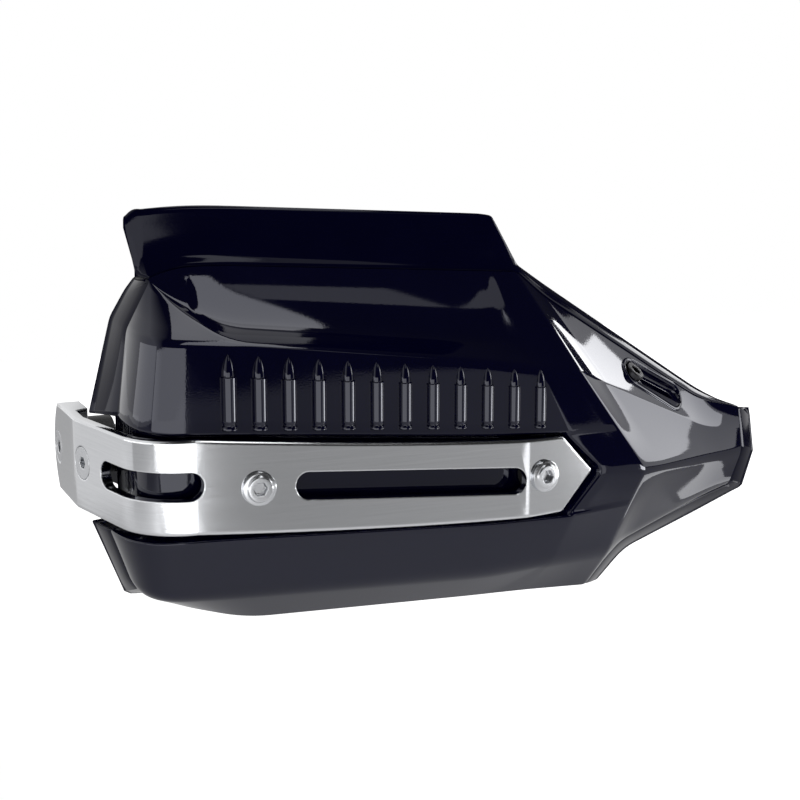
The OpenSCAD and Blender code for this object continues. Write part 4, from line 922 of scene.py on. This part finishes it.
def brushed_lines_group():
    """Streaks of satin metal: noise stretched along one axis, coarse and fine together."""
    group, gin, gout = shader_group(
        "brushed_lines",
        {"Vector": (0.0, 0.0, 0.0), "Stretch": (20.0, 20.0, 1400.0)},
        {"Streaks": "NodeSocketFloat"})
    wide = add(group, "ShaderNodeVectorMath", operation="MULTIPLY", inputs={
        0: gin.outputs["Vector"], 1: gin.outputs["Stretch"]})
    coarse = noise(group, wide.outputs[0], 1.0, 3.0)
    fine = noise(group, wide.outputs[0], 3.7)
    both = maths(group, "MULTIPLY_ADD", fine.outputs["Fac"], 0.5, coarse.outputs["Fac"])
    group.links.new(both, gout.inputs["Streaks"])
    return group


def edge_light_group():
    """Mask of edges for a painted highlight: how far the rounded-off normal turns from the true one."""
    group, gin, gout = shader_group(
        "edge_light", {"Width": 0.0006}, {"Edge": "NodeSocketFloat", "Normal": "NodeSocketVector"})
    bevel = add(group, "ShaderNodeBevel", samples=4, inputs={"Radius": gin.outputs["Width"]})
    plain = add(group, "ShaderNodeNewGeometry")
    along = add(group, "ShaderNodeVectorMath", operation="DOT_PRODUCT", inputs={
        0: bevel.outputs["Normal"], 1: plain.outputs["Normal"]})
    group.links.new(ranged(group, along.outputs["Value"], 0.995, 0.85), gout.inputs["Edge"])
    group.links.new(bevel.outputs["Normal"], gout.inputs["Normal"])
    return group


MARKS = surface_marks_group()
BRUSHED = brushed_lines_group()
EDGES = edge_light_group()
HAIRLINE_ROUGH, GRAIN_HEIGHT, STREAK_HEIGHT = 0.12, 0.0002, 0.0001


def marks_on(tree, **scales):
    """Object coordinates, and the surface marks on them."""
    place = add(tree, "ShaderNodeTexCoord").outputs["Object"]
    inputs = {label.replace("_", " "): value for label, value in scales.items()}
    return place, add(tree, "ShaderNodeGroup", node_tree=MARKS, inputs={"Vector": place, **inputs})


def moulded_plastic(name, dark, light, rough, ior, specular, tint=(1, 1, 1), grain=0.02):
    """Moulded plastic: a mottle in its dark colour and its gloss, a very fine grain, and
    hairlines in the roughness."""
    m, tree, out = new_material(name)
    _, marks = marks_on(tree)
    color = mix_colors(tree, marks.outputs["Mottle"], dark, light)
    fine = ranged(tree, marks.outputs["Mottle"], 0.3, 0.7, rough * 0.8, rough * 1.2)
    scuffed = maths(tree, "MULTIPLY_ADD", marks.outputs["Scratches"], HAIRLINE_ROUGH, fine)
    bump = add(tree, "ShaderNodeBump", inputs={
        "Height": marks.outputs["Grain"], "Strength": grain, "Distance": GRAIN_HEIGHT})
    surface = add(tree, "ShaderNodeBsdfPrincipled", inputs={
        "Base Color": color, "Roughness": scuffed, "IOR": ior, "Specular IOR Level": specular,
        "Specular Tint": (*tint, 1.0), "Normal": bump.outputs["Normal"]})
    tree.links.new(surface.outputs[0], out.inputs["Surface"])
    return m


def bare_metal(name, dark, light, rough, stretch=None, edge=0.0, depth=0.15):
    """Metal: streaks or mottle in its tone and roughness, and smoother edges with a painted highlight in
    their colour.
    """
    m, tree, out = new_material(name)
    place, marks = marks_on(tree, Mottle_Scale=90.0, Grain_Scale=2200.0)
    tone = marks.outputs["Mottle"]
    height = marks.outputs["Grain"]
    if stretch:
        brushed = add(tree, "ShaderNodeGroup", node_tree=BRUSHED, inputs={
            "Vector": place, "Stretch": stretch})
        height = brushed.outputs["Streaks"]
        tone = ranged(tree, height, 0.5, 1.0)
    color = mix_colors(tree, tone, dark, light)
    roughness = ranged(tree, tone, 0.0, 1.0, rough * 1.2, rough * 0.85)
    bump = add(tree, "ShaderNodeBump", inputs={
        "Height": height, "Strength": depth, "Distance": STREAK_HEIGHT})
    if edge:
        edge_highlight = add(tree, "ShaderNodeGroup", node_tree=EDGES, inputs={"Width": edge})
        # Painted highlight: the edges' colour is lifted above the metal's light tone. Their lower
        # roughness and rounded normal are real.
        color = mix_colors(tree, edge_highlight.outputs["Edge"], color, tuple(min(1, 1.25 * c) for c in light))
        roughness = mix_values(tree, edge_highlight.outputs["Edge"], roughness, rough * 0.5)
        tree.links.new(edge_highlight.outputs["Normal"], bump.inputs["Normal"])
    surface = add(tree, "ShaderNodeBsdfPrincipled", inputs={
        "Base Color": color, "Roughness": roughness, "Metallic": 1.0,
        "Normal": bump.outputs["Normal"]})
    tree.links.new(surface.outputs[0], out.inputs["Surface"])
    return m


NAVY = (0.88, 0.9, 1.0)
COVER_GLOSS = moulded_plastic(
    "cover_gloss", (0.0004, 0.0004, 0.007), (0.0008, 0.0008, 0.01), 0.04, 1.5, 0.5,
    tint=NAVY)
FRAME_GLOSS = moulded_plastic(
    "frame_gloss", (0.0004, 0.0004, 0.006), (0.0008, 0.0008, 0.009), 0.07, 1.5, 0.18,
    tint=NAVY)
SPACER_PLASTIC = moulded_plastic(
    "spacer_plastic", (0.012, 0.012, 0.014), (0.02, 0.02, 0.023), 0.45, 1.45, 0.5, grain=0.3)
BUSH_RUBBER = moulded_plastic(
    "bush_rubber", (0.01, 0.01, 0.01), (0.02, 0.02, 0.02), 0.75, 1.45, 0.4, grain=0.6)
# The strap and the bolts carry a painted highlight along their edges, set by edge.
STRAP_METAL = bare_metal(
    "strap_metal", (0.62, 0.63, 0.65), (0.68, 0.69, 0.71), 0.1, stretch=(30.0, 30.0, 1500.0),
    edge=0.0007, depth=0.1)
BOLT_STEEL = bare_metal("bolt_steel", (0.5, 0.51, 0.53), (0.62, 0.63, 0.65), 0.22, edge=0.0003)
ZINC_STEEL = bare_metal("zinc_steel", (0.36, 0.37, 0.39), (0.5, 0.51, 0.53), 0.36)
BLACK_STEEL = bare_metal("black_steel", (0.03, 0.03, 0.034), (0.06, 0.06, 0.066), 0.3)
INSERT_BRASS = bare_metal("insert_brass", (0.45, 0.3, 0.1), (0.6, 0.42, 0.16), 0.32)
BRACKET_BLACK = moulded_plastic(
    "bracket_black", (0.008, 0.008, 0.009), (0.016, 0.016, 0.018), 0.42, 1.5, 0.5, grain=0.5)


# The pieces that show, made as fine surfaces inside the space of their solids.
cover_front, cover_back = cover_sheets()
cover = make_piece("cover_shell", closed_wall(cover_front, cover_back),
                   COVER_GLOSS, "front_cover")
cut_away(cover, [ledge_cutter()])
make_piece("cover_ribs", rib_row(), COVER_GLOSS, "front_cover", turn_out=True)
make_piece("cover_ledge", ledge_cup(cover_front), COVER_GLOSS, "front_cover",
           turn_out=True)

frame_front = frame_sheet()
low_from = frame_front.shape[1] - len(LOW_ROWS) - 1
shell = make_piece("rear_shell", closed_wall(frame_front, frame_rear(frame_front, low_from)),
                   FRAME_GLOSS, "rear_frame", sharp=180)
rounding = shell.modifiers.new("rounding", "SUBSURF")
rounding.levels = rounding.render_levels = 1

strap = make_piece("strap_bar", ringed(strap_rings()), STRAP_METAL, "guard_strap",
                   turn_out=True)
SIDE_IN = np.array([math.cos(LEAN), math.sin(LEAN), 0.0])
SIDE_SCREW_BACK, SIDE_SCREW_Z = 50.0, 1.2
SUNK_HEAD_R, SUNK_MOUTH_R = 6.4, 6.5
SLOT_FROM, SLOT_TO, SLOT_TURN = 152.7, 59.0, 0.6
CORNER_SLOT_FROM, CORNER_SLOT_BACK, CORNER_SLOT_Z = 25.0, 34.5, 0.6
side_screw_at = np.array([side_face(SIDE_SCREW_BACK), SIDE_SCREW_BACK, SIDE_SCREW_Z])
bar_bolt_at = np.array([-BOSS_T, REACH, 0.0])


def sunk_cut(at, way, r):
    """Cone and bore for a countersunk screw whose face is level with the metal."""
    big = SUNK_MOUTH_R
    return set_at(revolved([[big, -1], [big, 0.3], [r, 0.3 + big - r], [r, 16]], 64), at, way)


front_slot = slot_cut(along_strap(x=SLOT_FROM), along_strap(x=SLOT_TO),
                      strap_mid(SLOT_FROM) - SLOT_TURN, strap_mid(SLOT_TO) + SLOT_TURN)
corner_slot = slot_cut(along_strap(x=CORNER_SLOT_FROM), along_strap(back=CORNER_SLOT_BACK),
                       CORNER_SLOT_Z, CORNER_SLOT_Z)
cut_away(strap, [ringed(front_slot), ringed(corner_slot), sunk_cut(side_screw_at, SIDE_IN, 3.3),
                 sunk_cut(bar_bolt_at, [1, 0, 0], 4.3)])

# Screws and bolts that show, turned with their sockets: place, way in, shank length and name.
OUTER_BOLT_X, INNER_BOLT_X = 45.0, 161.0
BOLT_PLACES = [
    ((OUTER_BOLT_X, 0.0, strap_mid(OUTER_BOLT_X)), (0, 1, 0), 46.0, "outer"),
    ((INNER_BOLT_X, (INNER_BOLT_X - BEND_X) * math.tan(BEND), strap_mid(INNER_BOLT_X) + 0.6),
     (-math.sin(BEND), math.cos(BEND), 0), 51.0, "inner"),
]


def flange_bolt(length):
    """Low flanged head, with its face in front of z = 0, and a plain shank behind."""
    return socket_screw([
        [3, length], [3, 0], [6.1, 0], [6.25, -0.15], [6.25, -1.2], [6.15, -1.42], [5.9, -1.55],
        [5.7, -1.58], [4.95, -1.68], [4.85, -1.72], [4.7, -2.1], [4.5, -2.3], [4.25, -2.38],
        [4.05, -2.4], [3.3, -2.4], [3.1, -2.4]], 4.5, -1.9, -2.4)


for at, way, length, name in BOLT_PLACES:
    make_piece(f"{name}_button_bolt", set_at(flange_bolt(length), at, way),
               BOLT_STEEL, f"{name}_strap_bolt", turn_out=True)


def sunk_screw(r, length, socket):
    """Countersunk screw with its flat face at z = 0."""
    big = SUNK_HEAD_R
    profile = [[r, length], [r, big - r], [big - 0.3, 0.15], [big - 0.45, 0]]
    return socket_screw(profile, socket, -2.2, 0.0)


make_piece("side_socket_screw", set_at(sunk_screw(2.85, 25, 4), side_screw_at, SIDE_IN),
           BOLT_STEEL, "side_screw", turn_out=True)
make_piece("bar_socket_bolt", set_at(sunk_screw(3.85, 65, 5), bar_bolt_at, [1, 0, 0]),
           BOLT_STEEL, "bar_end_bolt", turn_out=True)
verts, faces = socket_screw([[2.5, -9], [2.5, 0.8], [4.0, 0.8], [4.2, 1.0], [4.2, 3.0],
                             [3.9, 3.4], [3.2, 3.4]], 4, 2.2, 3.4)
make_piece("ledge_socket_screw", (on_ledge(verts + [LEDGE_SCREW, 0, -LEDGE_FLOOR]), faces),
           BLACK_STEEL, "ledge_screw", turn_out=True)

# Bosses and the ear's pad behind the frame, and the cover's posts that meet them. Each cover
# screw's place is [inwards, up, where its post starts]. Tubes are [radius, bore, start, end].
COVER_SCREW_AT = [(60, 30, 5.5), (146, 22, 5.5), (60, -34, 7), (146, -36, 7)]
STRAP_BOSS, LEDGE_BOSS = (8, 3.05, 24, 33), (5.5, 2.6, 6.5, 16)
SCREW_BOSS_R, POST_R, POST_BORE, BOSS_BACK, BOSS_H = 5.5, 4, 2.0, 26, 7
EAR_PAD_FROM = STRAP_T + EAR_GAP + 0.6
bosses = [set_at(tube(*STRAP_BOSS), at, way) for at, way, _, _ in BOLT_PLACES]
bosses += [set_at(tube(SCREW_BOSS_R, POST_BORE, 0, BOSS_H), (x, BOSS_BACK, z), (0, 1, 0))
           for x, z, _ in COVER_SCREW_AT]
bosses.append(set_at(rounded_plate(10, 9, 2, EAR_PAD_FROM, EAR_PAD_FROM + 3), side_screw_at, SIDE_IN))
verts, faces = tube(*LEDGE_BOSS)
bosses.append((on_ledge(verts * [1, 1, -1] + [LEDGE_SCREW, 0, 0]), faces))
make_piece("frame_bosses", joined(*bosses), FRAME_GLOSS, "rear_frame", turn_out=True)
posts = [set_at(tube(POST_R, POST_BORE, 0, BOSS_BACK - back), (x, back, z), (0, 1, 0))
         for x, z, back in COVER_SCREW_AT]
make_piece("cover_posts", joined(*posts), COVER_GLOSS, "front_cover", turn_out=True)

# The finish of every solid. Those that have a finer piece above keep theirs for the solid itself.
FINISH = [
    (COVER_GLOSS, ["front_cover"]),
    (FRAME_GLOSS, ["rear_frame"]),
    (STRAP_METAL, ["guard_strap"]),
    (SPACER_PLASTIC, ["side_spacer", "bar_end_spacer"]),
    (BUSH_RUBBER, ["strap_bushes", "clamp_liner"]),
    (BRACKET_BLACK, ["bracket_arm", "clamp_body", "clamp_cap"]),
    (INSERT_BRASS, ["ledge_insert"]),
    (BLACK_STEEL, ["ledge_screw", "ledge_washer", "cover_screws"]),
    (BOLT_STEEL, ["outer_strap_bolt", "inner_strap_bolt", "side_screw", "bar_end_bolt"]),
    (ZINC_STEEL, ["shell_sleeves", "strap_washers", "strap_nuts", "side_nut", "expander_sleeve",
                  "expander_cone", "clamp_screws", "arm_screw"]),
]
for material, nodes in FINISH:
    for node in nodes:
        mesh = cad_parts[node].data
        mesh.materials.clear()
        mesh.materials.append(material)


# Pale floor, white background, soft boxes and the camera.
FLOOR_Z, FLOOR_HALF = -0.3, 2
GLOW_NEAR, GLOW_FAR = 0.5, 1.1
DARK_PAPER = (0.05, 0.05, 0.055)


def floor_material():
    """Pale floor that keeps the object's shadow and fades into the white background: the
    glow seen by the camera rises from 0.45 at GLOW_NEAR from the origin to 1 at GLOW_FAR. Far
    in front of the object its colour runs from a mid grey on the left to pale on the right."""
    m, tree, out = new_material("floor_paper")
    seen = add(tree, "ShaderNodeLightPath")
    place = add(tree, "ShaderNodeTexCoord").outputs["Object"]
    soft = noise(tree, place, 3.0)
    paper_color = mix_colors(tree, soft.outputs["Fac"], (0.84, 0.84, 0.85), (0.9, 0.9, 0.9))
    parts = add(tree, "ShaderNodeSeparateXYZ", inputs={0: place})
    left = ranged(tree, parts.outputs["X"], 0.3, 0.8, 1.0, 0.0)
    front = ranged(tree, parts.outputs["Y"], -0.7, -1.0, 0.0, 0.4)
    color = mix_colors(tree, maths(tree, "MULTIPLY", left, front), paper_color, DARK_PAPER)
    far = add(tree, "ShaderNodeVectorMath", operation="LENGTH", inputs={0: place})
    fade = ranged(tree, far.outputs["Value"], GLOW_NEAR, GLOW_FAR, 0.45, 1.0)
    shown = maths(tree, "MULTIPLY", fade, seen.outputs["Is Camera Ray"])
    paper = add(tree, "ShaderNodeBsdfDiffuse", inputs={"Color": color})
    glow = add(tree, "ShaderNodeEmission", inputs={"Strength": shown})
    both = add(tree, "ShaderNodeAddShader")
    tree.links.new(paper.outputs[0], both.inputs[0])
    tree.links.new(glow.outputs[0], both.inputs[1])
    tree.links.new(both.outputs[0], out.inputs["Surface"])
    return m


floor_mesh = bpy.data.meshes.new("studio_floor")
floor_mesh.from_pydata([(x * FLOOR_HALF, y * FLOOR_HALF, FLOOR_Z)
                        for x, y in ((-1, -1), (1, -1), (1, 1), (-1, 1))], [], [(0, 1, 2, 3)])
floor_mesh.materials.append(floor_material())
new_object("studio_floor", floor_mesh)

# The world is white for the camera. Reflections show that white behind the object and at its
# outer side, and a dark room elsewhere; the rest is lit at an even, plain level.
WHITE_WAY, ROOM_LEVEL, PLAIN_LEVEL = (-0.8, 0.6, 0.0), 0.03, 0.5
world = bpy.data.worlds.new("studio")
bpy.context.scene.world = world
world.use_nodes = True
sky = world.node_tree
sky.nodes.clear()
seen = add(sky, "ShaderNodeLightPath")
way = add(sky, "ShaderNodeTexCoord")
side = add(sky, "ShaderNodeVectorMath", operation="DOT_PRODUCT", inputs={
    0: way.outputs["Generated"], 1: WHITE_WAY})
room = ranged(sky, side.outputs["Value"], 0.0, 0.5, ROOM_LEVEL, 1.0)
mirrored = maths(sky, "MAXIMUM", seen.outputs["Is Glossy Ray"], seen.outputs["Is Transmission Ray"])
level = mix_values(sky, mirrored, PLAIN_LEVEL, room)
white = maths(sky, "MAXIMUM", level, seen.outputs["Is Camera Ray"])
light = add(sky, "ShaderNodeBackground", inputs={"Color": (1, 1, 1, 1), "Strength": white})
end = add(sky, "ShaderNodeOutputWorld")
sky.links.new(light.outputs[0], end.inputs["Surface"])


def soft_box(name, centre, aim, width, height, radiance, roll=0.0):
    """Rectangular lamp that faces a point; its power is pi times radiance times its area."""
    lamp = bpy.data.lights.new(name, "AREA")
    lamp.shape, lamp.size, lamp.size_y = "RECTANGLE", width, height
    lamp.energy = math.pi * radiance * width * height
    box = new_object(name, lamp)
    box.location = centre
    box.rotation_mode = "QUATERNION"
    facing = (Vector(aim) - Vector(centre)).to_track_quat("-Z", "Y")
    box.rotation_quaternion = facing @ Quaternion((0, 0, 1), math.radians(roll))


# Overhead: a long box and a dim small one for the scoop, and one for the left shoulder
soft_box("scoop_box", (0.235, -0.385, 0.45), (0.235, -0.385, 0.0), 0.08, 0.67, 2.8)
soft_box("scoop_fill", (0.36, -0.54, 0.45), (0.36, -0.54, 0.0), 0.16, 0.16, 0.8)
soft_box("shoulder_box", (0.18, 0.03, 0.45), (0.18, 0.03, 0.0), 0.17, 0.18, 2.2)
# Front box at the outer side for the corner and the left panel of the face, its side
# neighbour, and a low one behind it for the strap's side
soft_box("corner_box", (-0.47, -0.8, -0.11), (-0.47, 0.0, -0.11), 1.364, 0.32, 2.3)
soft_box("outer_box", (-1.2, -0.03, -0.01), (0.0, -0.03, -0.01), 1.5, 0.22, 1.6)
soft_box("rear_low_box", (-0.706, 0.636, -0.17), (0.0, 0.0, -0.17), 1.2, 0.22, 0.32)
# Side boxes past the tail: a dim wide one, a bright one and a bright strip above it
soft_box("tail_room", (0.76, -0.1, 0.12), (0.2, -0.1, 0.12), 0.44, 0.4, 1.3)
soft_box("tail_box", (0.7, -0.16, 0.1), (0.2, -0.16, 0.1), 0.22, 0.13, 3.6)
soft_box("tail_strip", (0.7, 0.13, 0.205), (0.2, 0.13, 0.205), 0.24, 0.065, 7.2, roll=-14)
# Low boxes for the ribs' inner edges, for the tail's lower facets and for the strap's bend
soft_box("rib_box", (0.75, -0.35, -0.133), (0.1, -0.09, 0.02), 0.24, 0.075, 11.0)
soft_box("low_box", (0.68, -0.1, -0.26), (0.2, -0.05, -0.05), 0.13, 0.07, 2.3)
soft_box("bend_box", (0.72, -0.8, -0.2), (0.15, 0.0, 0.0), 0.2, 0.16, 1.1)

# The camera stands about where the photograph was taken from, 23 degrees to the outer side
# and 11 degrees above the handlebar.
AZIMUTH, ELEVATION = math.radians(-23), math.radians(11)
CAMERA_AT, FOCAL_MM, SENSOR_MM = (-0.125362, -0.617227, 0.137806), 71.98, 36.0
back = Vector((math.sin(AZIMUTH) * math.cos(ELEVATION), -math.cos(AZIMUTH) * math.cos(ELEVATION),
               math.sin(ELEVATION)))
right = Vector((math.cos(AZIMUTH), math.sin(AZIMUTH), 0))
lens = bpy.data.cameras.new("photo_camera")
lens.lens, lens.sensor_width, lens.sensor_fit = FOCAL_MM, SENSOR_MM, "HORIZONTAL"
camera = new_object("photo_camera", lens)
camera.matrix_world = Matrix.Translation(CAMERA_AT) @ Matrix(
    (right, back.cross(right), back)).transposed().to_4x4()
bpy.context.scene.camera = camera
bpy.context.scene.view_settings.view_transform = "Standard"

bpy.context.view_layer.update()
